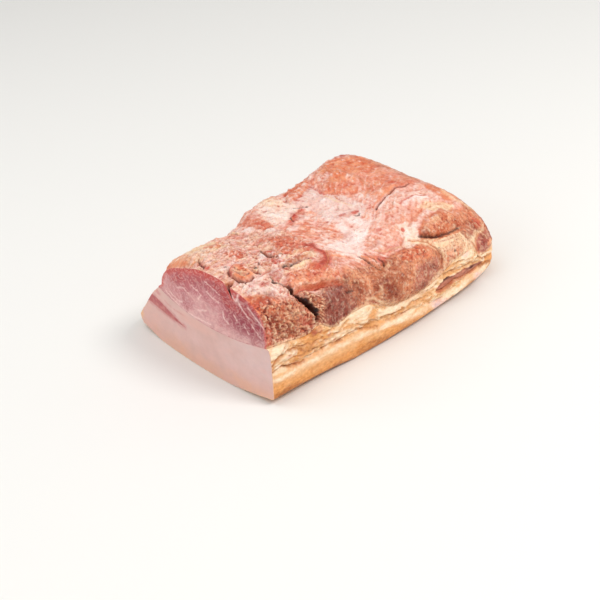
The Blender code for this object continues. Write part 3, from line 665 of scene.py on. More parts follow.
# Patches on the dome: tint, middle, half sizes, coverage, and maybe a turn in degrees and a
# height.
DOME_PATCHES = (
    # the front lump: its holes dark red and umber, partly painted shade, and its rough low parts
    ("red", (-104, 46), (5, 3), 0.75), ("red", (-112, 50), (3, 2), 0.5),
    ("red", (-116, 33), (10, 3), 0.6, 0, -0.3), ("umber", (-118, 27), (3.4, 1), 0.9, 25, -0.8),
    ("umber", (-112, 31), (1.2, 2.4), 0.8, 20, -0.7),
    ("umber", (-107, 25), (3.2, 1.1), 0.85, -30, -0.8),
    ("umber", (-115, 20), (4, 1.2), 0.8, 20, -0.8),
    ("umber", (-100, 27), (3.4, 1), 0.7, -20, -0.6), ("brown", (-105, 14), (14, 11), 0.7),
    ("umber", (-112, 36), (9, 4), 0.35), ("umber", (-106, 8), (9, 5), 0.3),
    ("umber", (-96, 12), (4, 2), 0.4, 0, -0.5), ("red", (-88, 8), (3, 10), 0.6, 25),
    ("red", (-122, 8), (3, 8), 0.7), ("cream", (-97, 20), (5, 4), 0.3),
    # about the coil and the holes
    ("orange", (-107, 67.5), (7, 7), 0.7, 0, 2), ("cream", (-95, 67), (3.2, 2), 1, 20, 1),
    ("cream", (-93.4, 61.6), (2.6, 2), 1, 0, 0.9),
    ("brown", (-84, 67), (4, 2.6), 0.6, 0, -0.3), ("cream", (-96, 74), (5, 3), 0.5, 0, 0.3),
    ("white", (-101, 55), (9, 3.5), 0.45), ("white", (-79, 74), (3.4, 3.4), 0.8, 0, 0.5),
    ("white", (-73, 60.6), (2.6, 1.2), 1, 20, 0.4), ("red", (-72, 65), (4, 3), 0.8, 20, 0.8),
    ("red", (-68, 83), (4, 4), 0.8, 20, 0.8), ("red", (-78, 84), (4, 3), 0.5),
    ("mauve", (-88, 55), (5, 5), 0.5), ("white", (-82, 58), (5, 3), 0.5, 30),
    ("red", (-90, 50), (3, 2.4), 0.5), ("cream", (-63, 54), (9, 3.4), 0.65, 0, 0.5),
    ("cream", (-47, 58), (6, 5), 0.75, 0, 0.3), ("mauve", (-35, 70), (3, 2), 0.5, 60),
    ("red", (-59, 104), (7, 5), 0.6, 0, 0.5), ("brown", (-57, 103), (4, 3), 0.5),
    ("red", (-72, 96), (6, 3), 0.45, 0, 0.3), ("cream", (-66, 92), (5, 5), 0.5),
    ("red", (-120, 91), (3, 2.2), 1, 0, 0.8), ("white", (-112, 82), (8, 4), 0.6),
    ("white", (-103, 84), (6, 3), 0.5), ("mauve", (-113, 178), (14, 7), 0.5),
    ("cream", (-100, 168), (16, 7), 0.5), ("orange", (-83, 125), (4, 5), 0.5),
    ("cream", (-68, 150), (8, 14), 0.6), ("red", (-67, 128), (3, 8), 0.6, 20, 0.3),
    ("white", (-51, 131), (6, 6), 0.9, 0, 0.3), ("white", (-40, 112), (6, 4), 0.8, 0, 0.3),
    ("white", (-25, 104), (7, 4), 0.7, 40, 0.2),
    # the pale middle
    ("white", (17, 84), (8, 3.4), 1, 12, 0.4), ("white", (-20, 56), (7, 4), 1, 30, 0.3),
    ("white", (3, 82), (8, 5), 1, 50, 0.4), ("white", (-22, 62), (7, 4), 1, 30, 0.3),
    ("mauve", (-3, 71), (8, 5), 0.3, 40), ("red", (26, 90), (5, 2.4), 0.95, 0, 0.3),
    ("red", (16, 95), (4, 2.4), 0.8), ("red", (21, 60), (2.6, 1.8), 0.75, 0, -0.3),
    ("red", (36, 47.5), (2.2, 1.6), 1, 0, -0.3), ("mauve", (5, 50), (8, 3), 0.35),
    ("red", (14, 41), (10, 2.4), 0.45, -10), ("orange", (-30, 52), (7, 4), 0.6, 0, 0.3),
    ("red", (-36, 43), (8, 2), 0.35), ("orange", (-40, 33), (8, 4), 0.5),
    ("cream", (-6, 162), (9, 14), 0.5),
    # the folds and the lower side
    ("orange", (-10, 40), (5, 4), 0.85, 0, 0.6), ("red", (-4, 36), (3.4, 2.4), 0.9, 0, 0.3),
    ("cream", (-14, 4), (6, 3), 0.5), ("umber", (-13, 14), (10, 9), 0.42),
    ("umber", (-4, 24), (9, 6), 0.22), ("umber", (-40, 17), (8, 9), 0.45),
    ("cream", (34, 3), (8, 2.4), 0.7), ("cream", (76, 3), (6, 3), 0.8, 0, 0.3),
    ("orange", (58, 50), (12, 5), 0.5, 10), ("orange", (28, 52), (8, 5), 0.4),
    ("orange", (60, 136), (10, 9), 1), ("mauve", (50, 33), (3.4, 3), 0.5),
    ("cream", (66, 34), (7, 3), 0.45, 10, 0.2), ("red", (99, 24), (3, 5), 0.6),
    # the near-black dents here are painted shade
    ("orange", (101, 5), (4, 2), 0.8), ("dark", (49, 17), (0.9, 0.9), 0.8, 0, -0.4),
    ("dark", (60, 7), (0.9, 0.9), 0.8, 0, -0.4),
    # the back, out of the photograph's sight
    ("orange", (40, 190), (24, 10), 0.5), ("brown", (60, 198), (30, 12), 0.45),
    ("red", (-20, 188), (18, 9), 0.45), ("mauve", (-52, 182), (18, 8), 0.5),
    ("red", (97, 174), (9, 6), 0.8), ("orange", (-80, 178), (20, 10), 0.4),
)

# Lines on the dome: tint, path, widths, coverage, and maybe a height.
DOME_LINES = (
    # the coil, a low swirl with a dark rim, and the lines behind it
    ("red", ((-117, 67.5), (-114, 71.8), (-110, 74), (-105.5, 73.4), (-101.8, 69.5)), (1.7, 1.5),
     0.75, 1.6),
    ("orange", ((-115.2, 64.5), (-114.2, 60), (-111, 57.6), (-107, 58.2), (-103, 60.5)),
     (2, 2), 1, 1.8),
    ("cream", ((-111.3, 67.4), (-110.6, 63.6), (-107.6, 61.6)), (1, 0.9), 0.9, 0.8),
    ("orange", ((-107, 70.6), (-105.2, 67.2), (-105.6, 64)), (1.8, 1.5), 1, 1.4),
    ("red", ((-105.4, 69), (-104.6, 66)), (0.9, 0.8), 0.8, 0.2),
    ("white", ((-102.4, 67.6), (-101.4, 65)), (1.1, 1), 0.9, 0.4),
    ("brown", ((-70, 61), (-64, 62.5), (-57, 61), (-51.5, 57.5)), (1.4, 1.4), 0.9, 1.2),
    ("cream", ((-70, 55.5), (-62, 55.5), (-54, 52.5)), (1.4, 1.6), 0.85, 0.9),
    ("cream", ((-68, 67.5), (-58, 68.5), (-48, 66)), (1.6, 1.8), 0.7, 0.8),
    ("red", ((-50, 74.5), (-42, 74), (-38, 70)), (1.6, 1.4), 0.9, 1),
    ("red", CURL, (2.8, 4.6), 1, 2.4), ("red", CURL, (2.2, 3.8), 0.9),
    ("umber", CURL, (1, 1.6), 0.4), ("red", ((-52, 54), (-49.5, 52)), (1.3, 1.3), 0.9, 0.5),
    ("red", ((-78, 62), (-75, 69), (-72, 75)), (1.2, 1.4), 0.8, 0.3),
    ("orange", ((-14, 44), (-10.5, 41)), (1.3, 1.2), 1, 1.4),
    ("red", ((-5, 40), (-1, 36)), (1.1, 1.1), 0.8, 1),
    ("orange", ((-37, 49), (-30, 47.5), (-25, 45)), (1, 1), 0.9, 0.3),
    ("cream", ((33, 36), (40, 30), (47, 22), (58, 16)), (2.4, 3), 0.95),
    ("cream", ((46, 20), (49, 12), (46, 3)), (1.5, 1.5), 0.7),
    ("cream", ((-34, 3), (-28, 6.5), (-24, 4), (-18, 3)), (1.2, 1.4), 0.85, 0.7),
    ("cream", ((82, 10), (86, 15.5), (93, 18.5), (101, 17)), (1.9, 1.7), 1, 0.7),
    ("cream", ((104, 62), (101, 54), (104, 43), (106, 32)), (1.8, 1.3), 0.75, 0.8),
    ("orange", ((46, 24), (58, 21), (72, 17.5), (82, 17)), (0.7, 0.7), 0.7, -0.2),
    ("mauve", ((52, 20), (62, 16.5), (72, 14.5)), (0.6, 0.6), 0.6, -0.2),
    ("red", ((-118, 105), (-120, 95), (-122, 89)), (1.1, 1.2), 0.9),
    ("orange", ((-123, 162), (-122.5, 140), (-121, 120)), (3.4, 2.2), 0.95, 0.3),
    ("cream", ((-60, 143), (-61, 132)), (1.3, 1.3), 1, 1.4),
    ("orange", ((-63, 142), (-64, 131)), (1, 1), 0.8, 0.6),
    ("white", ((-4, 139.5), (-1, 133.6), (3, 129.6), (8, 126)), (1, 0.9), 1, 0.8),
    ("red", ((-20, 115), (-14.5, 119.5), (-9, 126)), (2.8, 2), 1, 0.7),
    ("orange", ((-18, 117.5), (-13, 122)), (1.3, 1), 0.9, 0.2),
    ("red", ((-8, 129), (3, 128)), (1.3, 1.2), 0.7, 0.3),
    ("orange", ((43, 83.2), (61, 85.2), (76, 88), (88, 92)), (0.9, 0.8), 0.8, 0.4),
    ("white", ((46, 78), (61, 80), (76, 81.5)), (1.6, 1.4), 0.8, 0.3),
    ("red", ((62, 66), (74, 66.5), (84, 67)), (0.9, 0.8), 0.9, -0.2),
    ("white", ((62, 63.5), (74, 64), (84, 64.5)), (1.5, 1.4), 0.9, 0.3),
    ("brown", ((56, 100), (70, 104), (84, 103), (98, 96)), (1.2, 1.2), 0.5),
    ("brown", ((104, 138), (102, 118), (102, 104), (103, 88)), (1.3, 1.6), 0.7),
    ("brown", ((60, 160), (70, 139), (72, 121), (66, 106)), (1.3, 1.3), 0.5, -0.2),
    ("red", ((33, 133), (35, 148), (43, 158)), (1.6, 1.4), 0.5),
    ("cream", ((31, 130), (29, 112), (33, 100)), (1, 1.2), 0.7, 0.3),
    ("brown", ((36, 122), (33, 116), (34, 109)), (0.9, 0.8), 0.85, -0.4),
    ("white", ((4, 62), (20, 70), (34, 80)), (1.2, 1), 0.8, 0.2),
    ("brown", ((2, 44), (20, 38), (31, 43)), (0.9, 0.8), 0.6, -0.3),
    ("cream", ((0, 45), (12, 41), (24, 37)), (0.8, 0.8), 0.5, 0.2),
)

# Creases on the dome: tint, path, depths along it, coverage, and its width on the right, or on
# the right and the left. The tint laid along each fold is painted shade, darker in the deeper
# ones.
DOME_CREASES = (
    ("dark", ((-92.6, 52), (-96, 46.5), (-92.5, 43.5), (-90.5, 39.5), (-88, 33)),
     (1, 1.8, 2.2, 2.8, 3.6), 0.95, 0.8),
    ("dark", ((-89.5, 37), (-88, 33), (-85.5, 26), (-82.5, 19), (-80, 12), (-79, 8), (-79.5, 2)),
     (0.5, 3, 6, 8, 8, 6, 3), 0.95, 1.1, 1.9),
    ("umber", BACK_CREASE, (1.8, 1.8, 1.5, 1.2, 1, 0.6), 1, 0.8, 0.7),
    ("dark", ((42.5, 80.6), (48, 81), (54, 81.8)), (1, 0.6), 0.9, 0.8, 0.7),
    ("dark", ((42, 35), (45, 33), (51, 27.5), (56, 24.5), (64, 21.5), (76, 20)),
     (1.6, 4, 4.2, 3.4, 2.4, 1), 0.85, 1.7, 1),
    ("brown", ((31, 38.5), (38, 33), (44, 27), (46.8, 18), (47, 11), (43.5, 3)),
     (1.2, 2, 2, 1.2), 0.95, 0.9),
    ("dark", ((-17, 44), (-15, 41), (-14, 37)), (1.2, 2.4, 1.2), 1, 0.7),
    ("dark", ((-11, 42), (-8.5, 39), (-8, 36)), (1, 2.4, 1.2), 0.9, 0.7),
    ("dark", ((-5, 37.5), (-4, 34), (-7, 30)), (1, 2, 1), 0.8, 0.7),
    ("dark", ((-15, 37), (-12, 33), (-10, 29)), (1.2, 1.4), 0.6, 0.7),
    ("brown", ((-24, 19), (-20, 25), (-15, 31)), (0.8, 1.2, 0.8), 0.8, 0.9),
    ("dark", ((-71, 89), (-72.4, 84.2), (-73.2, 79.5), (-68.8, 78)), (1, 3.6, 4, 2), 1,
     1),
    ("dark", ((-66, 78.5), (-62, 77)), (2, 1), 0.8, 0.9),
    ("dark", ((-75.5, 57), (-71, 58.4)), (2.6, 2), 1, 0.9),
    ("dark", ((-69.6, 58), (-64, 60), (-59.5, 59), (-52, 54.5)), (1.6, 2.2, 1.4), 0.85, 0.8),
    ("dark", ((-100.4, 64), (-98.6, 62.2), (-97.2, 59.4)), (3, 3.6, 2.4), 1, 1.2),
    ("dark", ((-93.6, 70), (-92, 68.2)), (2, 1.4), 0.9, 0.9),
    ("dark", ((-88, 71), (-86, 73)), (2, 1.6), 0.9, 0.8),
    ("umber", ((-110.5, 75.8), (-115, 72.2), (-118, 67.2)), (0.8, 1.8, 2), 1, 0.9),
    ("umber", ((-117, 64.8), (-116.8, 59.8), (-114.4, 55.6), (-111, 54.6), (-107.6, 54.8),
     (-104, 57.2)), (1.4, 2, 2, 1.6), 1, 1),
    ("dark", ((-116.4, 59), (-114.2, 55.8), (-111, 54.8)), (0.4, 0.6, 0.4), 0.9, 0.8),
    ("umber", ((-113.4, 69.4), (-113, 64.4), (-109.6, 60.2), (-105.6, 60)), (1, 1.4, 1), 0.9,
     0.7),
    ("umber", ((-109.6, 72), (-108, 68.4), (-108.4, 64.4)), (1, 1.3, 0.8), 0.9, 0.7),
    ("dark", ((-111, 82.5), (-108, 84)), (2, 2), 0.9, 0.9),
    ("dark", ((-121.5, 93), (-119.6, 97), (-118.6, 103), (-115, 109)), (1.6, 2.4, 1.2), 0.95, 1),
    ("dark", ((-62.5, 143), (-62.8, 131)), (1.6, 1.6), 0.8, 0.6),
    ("dark", ((-18, 114), (-16.5, 120), (-13, 125.5)), (1.4, 2, 1), 0.8, 0.7),
    ("dark", ((-5, 142), (-1, 136), (3.4, 131.4), (7.5, 128.5)), (1.2, 1.5, 1), 0.9, 0.7),
    ("dark", ((-47, 16.5), (-42, 15.5)), (1.6, 2), 0.75, 1.2, 1),
    ("brown", ((-41, 19), (-38.5, 24), (-34, 26)), (1.4, 1.6, 1), 1, 0.9),
    ("dark", ((-47, 71.5), (-41, 70.5), (-37, 67)), (1, 1.6, 0.9), 0.6, 0.8),
    ("brown", ((-54, 41), (-48, 40.5), (-41, 45), (-35.5, 51), (-32, 56)), (0.9, 1.6, 1.2), 0.8,
     0.7),
    ("brown", ((-24, 110), (-21.5, 104)), (1.2, 0.8), 0.8, 0.7),
    ("brown", ((-73, 118), (-70, 111), (-67, 104)), (0.8, 1.2, 0.8), 0.6, 0.8),
    ("brown", ((-56, 108), (-50, 106), (-36, 94), (-34, 84)), (0.8, 1.2, 0.8), 0.6, 0.8),
    ("dark", ((22, 87), (25, 85.5), (28, 86.5)), (1.4, 1), 0.9, 0.7),
    ("brown", ((87, 14), (94, 19.5), (104, 16)), (0.8, 1.2, 0.8), 0.6, 0.7),
    ("brown", ((76, 15), (84, 24.5), (92, 33)), (0.8, 1.2, 0.8), 0.5, 0.8),
    ("brown", ((95, 15), (97, 28), (94, 40)), (0.8, 1.2, 0.8), 0.5, 0.8),
)

FLAP_LIP = ((-91, 35.5), (-86, 34), (-80, 32.5), (-74, 33), (-68, 35), (-62, 33.8), (-56, 31),
            (-50, 27), (-43, 23))


def crevice_x(s):
    """The station of the front crevice at a distance from the foot."""
    return curve(s, (0, -79.5), (9, -79), (19, -82.5), (33, -88), (43, -92), (52, -95), (70, -104))


def dome_surface(x, s):
    """The skin of the lean: its relief and its tints."""
    skin = Surface(x, s, SKIN_TINTS, wander=0.8 - 0.5 * smooth(15, 40, x))
    wander = 3.0 * layered(x / 14, s / 14, 31)
    edge = curve(x, (-125, 33), (-60, 26), (-20, 34), (60, 34), (110, 40))
    side = 1 - smooth(edge - 4, edge + 5, s + wander)
    behind = smooth(-1.0, 1.0, skin.x - crevice_x(skin.s))
    recess = behind * (1 - smooth(-54, -38, x + wander)) * (1 - smooth(26, 32, skin.s))
    crumbs = recess * (1 - smooth(-70, -63, skin.x - 0.4 * (skin.s - 20)))
    front = (1 - behind) * side
    fibrous = smooth(44, 52, x) * (1 - smooth(78, 84, x)) * (1 - smooth(12, 18, s))
    top = 1 - side
    coarse = top * (1 - smooth(-45, -25, x + wander)) * (1 - smooth(118, 136, s + wander))
    plain = side * behind * (1 - recess)

    # forms that the solids have too
    for lump in LUMPS:
        skin.lift += mound(x, s, *lump)
    skin.lift += 0.9 * np.sin(0.115 * x + 0.6) * np.sin(0.09 * s + 0.02 * x)
    skin.lift += groove(x, s, MUSCLE_SEAM, (4.0, 4.0), (1.5, 1.8))
    away, ends = skin.overhang(FLAP_LIP, 5.5, 1.6, 1.3, 13.0)
    # the edge rolls softly over to the cut, most on the left
    roll = curve(s, (24, 0), (60, 2.0), (95, 2.6), (120, 5.5), (165, 5.5), (190, 0))
    skin.lift -= roll * bell(np.clip(x - CUT_X, 0, 99) / 7.0, 1.5)

    # the general colours, in strands that run their own way near the cut and farther on
    along = unrolled(x)
    broad = layered(along / 15, s / 15, 101)
    u, v = slanted(along, s, 25, 16.0, 5.0)
    streaky = layered(u, v, 121, 2) * (1 - 0.8 * smooth(90, 100, x))
    far_u, far_v = slanted(along, s, -58, 13.0, 2.3)
    near_u, near_v = slanted(along, s, 33, 13.0, 2.3)
    share = smooth(31, 59, x + 0.3 * s)
    strands = (1 - share) * noise(far_u + broad, far_v, 123)
    strands += share * noise(near_u + broad, near_v, 125)
    strands = np.clip(1.5 * strands, -1, 1) * (1 - smooth(92, 101, x))
    skin.roughen(0.10 + 0.9 * front + 0.5 * plain + 0.8 * recess + 0.32 * coarse)
    skin.add("orange", top * unit(0.30 + 0.4 * broad))
    skin.add("white", top * np.clip(0.26 + 0.5 * streaky - 0.25 * broad, 0, 0.8))
    skin.add("cream", coarse * unit(0.20 - 0.5 * streaky))
    skin.add("white", coarse * unit(0.18 + 0.5 * broad))
    skin.add("red", coarse * (0.12 + 0.45 * streaky))
    skin.add("brown", side * (0.95 + 0.2 * broad))
    skin.add("orange", side * np.clip(0.15 + 0.5 * broad, 0, 0.6) * (1 - recess))
    skin.add("red", front * (0.15 + 0.3 * broad))
    skin.add("cream", fibrous * 0.6)
    # under the flap, mauve and umber: the muscle's own colour and painted shade of the overhang
    skin.add("mauve", (recess - crumbs) * 0.97)
    skin.add("umber", (recess - crumbs) * 0.55)
    insides = [skin.area(*area) for area in DOME_AREAS]

    # fine relief and flecks: grains at the front, scraps on top, crumbs under the flap
    calm = 1 - bell(np.hypot(x - COIL_MIDDLE[0], s - COIL_MIDDLE[1]) / 10, 6)
    curl = bell(to_path(x, s, CURL)[0] / 3.5)
    calm = calm * (1 - curl) * (1 - 0.9 * bell(to_path(x, s, BACK_CREASE)[0] / 4.0))
    grains = pillows(along / 5.0, s / 4.4, 11) + 0.6 * pillows(along / 2.4, s / 2.2, 13)
    scraps = pillows(u * 1.5 + 0.4 * broad, v * 0.8, 17) + 0.4 * pillows(along / 3.0, s / 2.6, 19)
    thread = threads(along / 5 + 0.5 * broad, s / 5, 41)
    thread += threads(along / 3.2, s / 3.4 - broad, 43)
    small = layered(along / 2.2, s / 2.2, 71, 2)
    w, t = slanted(along, s, 80, 9.0, 1.7)
    fibre = noise(w + broad, t, 73)
    arcs_u, arcs_v = slanted(along, s + 0.02 * (x - 10)**2, 60, 12.0, 1.9)
    arcs = noise(arcs_u, arcs_v, 79)
    flakes = pillows(along / 3.6 + 0.5 * broad, s / 2.6, 75)
    fine = front * (1.9 * (grains - 0.7)) + coarse * (1.15 * (scraps - 0.6))
    level = (top - coarse) * (1 - 0.9 * smooth(90, 101, x))
    fine += level * (0.6 * (scraps - 0.6) + 0.28 * strands * (1 - smooth(130, 145, s)))
    fine += plain * (0.6 * (grains - 0.7) + 0.35 * arcs)
    fine += (recess - crumbs) * (0.5 * fibre) + crumbs * (2.0 * (flakes - 0.5))
    fine += 0.4 * thread * (0.4 + coarse) + 0.45 * layered(along / 8, s / 8, 61)
    fine += (0.10 + 0.14 * front + 0.04 * coarse) * small
    crags = smooth(126, 142, s) * (1 - smooth(195, 210, s))
    fine += 0.7 * crags * layered(along / 4.5, s / 6, 63, 2)
    fine += 0.9 * smooth(94, 104, x) * layered(along / 9, s / 7, 65, 2)
    skin.lift += fine * calm * (0.15 + 0.85 * smooth(0.5, 5.0, x - CUT_X))
    torn = bell(((x + 72) / 22)**2 + ((s - 70) / 15)**2) * calm
    scrap = noise(along / 3.4 + 0.4 * broad, s / 2.4, 83) + 0.5 * noise(along / 1.9, s / 1.7, 85)
    skin.lift += 1.1 * scrap * torn
    upper = (top - coarse) * (1 - 0.5 * smooth(100, 135, s))
    skin.add("white", unit(strands - 0.05) * upper * 0.6)
    skin.add("red", unit(-strands - 0.25) * upper * 0.25)
    pits = unit(1 - 3.0 * np.where(front > 0.5, grains, scraps)) * calm
    # pits between grains: red and umber partly as painted shade, near black as painted shade
    skin.add("red", pits * (0.6 * coarse + 0.25 * (top - coarse)))
    skin.add("dark", unit(pits - 0.55) * 1.4 * front)
    skin.add("umber", pits * (0.9 * front + 0.3 * coarse + 0.25 * plain * (1 - fibrous)))
    skin.add("cream", unit(arcs - 0.3) * plain * 0.9)
    skin.add("white", unit(fibre - 0.35) * (recess - crumbs) * 0.6)
    # crumbs: umber between the flakes, orange and cream on top: painted shade and highlight
    skin.add("umber", crumbs * unit(0.9 - 2.4 * flakes))
    skin.add("orange", crumbs * unit(1.6 * flakes - 0.6) * 0.6)
    skin.add("cream", crumbs * unit(1.8 * flakes - 1.1) * 0.8)
    skin.add("cream", thread * calm * (0.3 * coarse + 0.2 * top + 0.3 * plain + 0.4 * front))
    skin.add("red", unit(small - 0.3) * calm * (0.3 * coarse + 0.5 * front))
    skin.add("white", unit(-small - 0.3) * (0.5 * coarse + 0.3 * (top - coarse)))
    # torn place: red and umber low, white high: painted shade and painted highlight
    skin.add("red", unit(-scrap - 0.15) * 1.2 * torn)
    skin.add("umber", unit(-scrap - 0.40) * 2.8 * torn)
    skin.add("white", unit(scrap - 0.25) * 1.8 * torn)
    skin.add("brown", smooth(95, 107, along + 5 * broad) * (0.80 + 0.2 * broad))

    # the cream band's fibres, the areas once more over the grain, and the single features
    stripe_u, stripe_v = slanted(along, s, 62, 9.0, 1.5)
    stripes = noise(stripe_u + 0.5 * broad, stripe_v, 87) * fibrous
    for (_, tints, *_), inside in zip(DOME_AREAS, insides):
        for name, strength in tints:
            skin.add(name, 0.9 * strength**2 * inside)
    skin.lift += 0.3 * stripes
    skin.add("orange", unit(-stripes - 0.1) * 1.2)
    skin.add("cream", unit(stripes - 0.1) * 1.6)
    for patch in DOME_PATCHES:
        skin.patch(*patch)
    low = hollows(skin.lift, 4) * (1 - 0.8 * curl)
    low = low * (1 - 0.9 * ends * bell(away / 4.0))
    # the relief's low places painted red and umber: painted shade
    skin.add("red", np.clip(low - 0.2, 0, 0.7) * (top + 0.5 * front) * calm)
    skin.add("umber", np.clip(low - 0.45, 0, 0.8) * (0.3 + 0.6 * front))
    # its rises painted cream and white: painted highlight
    skin.add("cream", np.clip(-low - 0.25, 0, 0.6) * calm * side)
    skin.add("white", np.clip(-low - 0.25, 0, 0.6) * calm * top)
    for line in DOME_LINES:
        skin.line(*line)
    # the creases, with painted shade along their folds
    for crease in DOME_CREASES:
        skin.crease(*crease)
    coil = bell(np.hypot(x - COIL_MIDDLE[0], s - COIL_MIDDLE[1]) / 9, 4)
    skin.lift += 0.5 * scrap * coil
    # the coil: umber in its low places, cream on the high: painted shade and painted highlight
    skin.add("umber", unit(-scrap - 0.30) * 2.2 * coil)
    skin.add("cream", unit(scrap - 0.20) * 1.6 * coil)
    # the front crevice, near black deep in its fold: painted shade
    core = curve(skin.s, (0, 0.2), (6, 0.9), (12, 2.0), (20, 2.0), (30, 1.1), (40, 0.6))
    ragged = skin.x - crevice_x(skin.s) - 0.5 * core + 0.7 * small
    deep = behind * (1 - smooth(core, core + 1.0, np.abs(ragged)))
    skin.add("dark", deep * smooth(2, 6, skin.s) * (1 - smooth(34, 44, skin.s)))

    # the flap's thick edge, cooked orange, and the fat's rim along the foot
    band = smooth(-2.9, -2.2, away) * (1 - smooth(0.4, 1.2, away)) * ends * smooth(-88, -82, x)
    band = band * (1 - smooth(-50, -45, x))
    skin.add("orange", band)
    skin.add("red", band * (0.55 + 0.3 * smooth(0.0, -2.2, away)))
    # umber on the lower part of the edge: a painted shadow line under the lip
    skin.add("umber", band * 0.75 * smooth(-1.2, -2.4, away))
    skin.calm(0.8 * band)
    skin.add("orange", bell((away - 3.6) / 2.4) * ends * 0.55)
    skin.add("cream", bell((away - 1.5) / 0.7) * ends * smooth(-88, -80, x) * 0.15)
    skin.add("cream", (1 - smooth(0.4, 2.6, skin.s)) * 0.7)
    return skin


def unrolled(x):
    """Place along the slab, measured over the curve where the far end rolls down."""
    turn = unit((x - END_X + END_ROUND) / END_ROUND)
    return np.minimum(x, END_X - END_ROUND) + END_ROUND * np.arcsin(turn)


def end_surface(y, z):
    """The far end of the lean, which cooked like the side."""
    skin = Surface(y, z, SKIN_TINTS, seed=7)
    broad = layered(y / 18, z / 14, 131)
    grains = pillows(y / 7, z / 6, 311) + 0.5 * pillows(y / 3, z / 2.8, 313)
    thread = threads(y / 9, z / 7, 151)
    skin.lift += 1.3 * layered(y / 16, z / 14, 315) + 0.8 * (grains - 0.6) + 0.4 * thread
    skin.add("brown", 0.62 + 0.4 * broad)
    skin.roughen(0.6 + 0 * y)
    skin.add("orange", 0.45 - 0.5 * broad)
    skin.add("mauve", unit(broad) * 0.8)
    skin.add("cream", thread * 0.6)
    # red in the pits between the grains: partly painted shade
    skin.add("red", unit(1 - 2.5 * grains) * 0.7)
    return skin


# Pale seams in the cut lean, as (y, z) paths with their widths.
CUT_SEAMS = (
    (((-64.5, 72), (-67, 68.5), (-71, 64.5), (-75, 61.5)), 0.9),
    (((-75, 70), (-81, 65.5), (-88, 61)), 0.8), (((-88, 61), (-92, 57)), 0.6),
    (((-46, 57.5), (-46.5, 54), (-49, 51.5), (-52, 50.5)), 0.8),
    (((-28, 67.5), (-34, 65), (-42, 63.5)), 0.7), (((-59, 59), (-62, 55.5)), 0.7),
    (((-55, 77.5), (-59, 73), (-62, 71), (-64.5, 74), (-66, 79.5)), 0.9),
    (((12, 58), (4, 60), (-4, 58)), 0.6), (((-14, 48), (-26, 52)), 0.6),
    (((24, 50), (14, 47), (6, 47.5)), 0.6), (((-20, 62), (-16, 57)), 0.5),
    (((14, 40.8), (-10, 41.2), (-30, 42)), 0.8), (((30, 49), (22, 45.5), (12, 43)), 0.6),
    (((-27, 75), (-36, 72.5), (-44, 70)), 0.5), (((-8, 66), (-16, 64.5), (-22, 61.5)), 0.5),
    (((-78, 58), (-82, 53), (-86, 50)), 0.5), (((-70, 54), (-74, 49)), 0.5),
)


def cut_surface(y, z, from_skin):
    """The cut lean, by its place and its distance from the skin."""
    cut = Surface(y, z, CUT_TINTS, wander=0.5, seed=13)
    broad = layered(y / 20, z / 14, 161)
    cut.add("deep", smooth(-38, -80, y + 6 * broad) * 0.88)
    cut.patch("deep", (-58, 66), (14, 8), 0.5, 25)
    cut.patch("deep", (-30, 73), (24, 5), 0.4, -6)
    cut.patch("deep", (-84, 66), (9, 8), 0.6)
    cut.patch("deep", (-60, 56), (12, 5), 0.45)
    cut.add("deep", unit(broad) * 0.4)
    cut.add("pale", (1 - smooth(40, 52, z + 2 * broad)) * 0.75)
    cut.patch("pale", (-18, 52), (26, 8), 0.45)
    cut.patch("pale", (28, 56), (16, 9), 0.45)
    under_rim = bell((from_skin - 8.0) / 5.0) * smooth(-92, -70, y) * (1 - smooth(10, 34, y))
    cut.add("deep", under_rim * (0.45 + 0.2 * broad))
    cut.add("rim", under_rim * (0.35 + 0.2 * broad))
    wide = curve(y, (-96, 1.8), (-60, 6.5), (-30, 8.0), (20, 6.5), (44, 2.6))
    cut.add("rim", (1 - smooth(0.5, wide, from_skin + 0.9 * broad)) * 0.95)
    for path, width in CUT_SEAMS:
        cut.line("seam", path, (width, 0.7 * width), 0.9, height=0.12)
    u, v = slanted(y, z, -35, 12.0, 1.8)
    cut.lift += 0.10 * noise(u, v, 301) + 0.14 * np.sin(0.35 * z + 0.08 * y)
    return cut
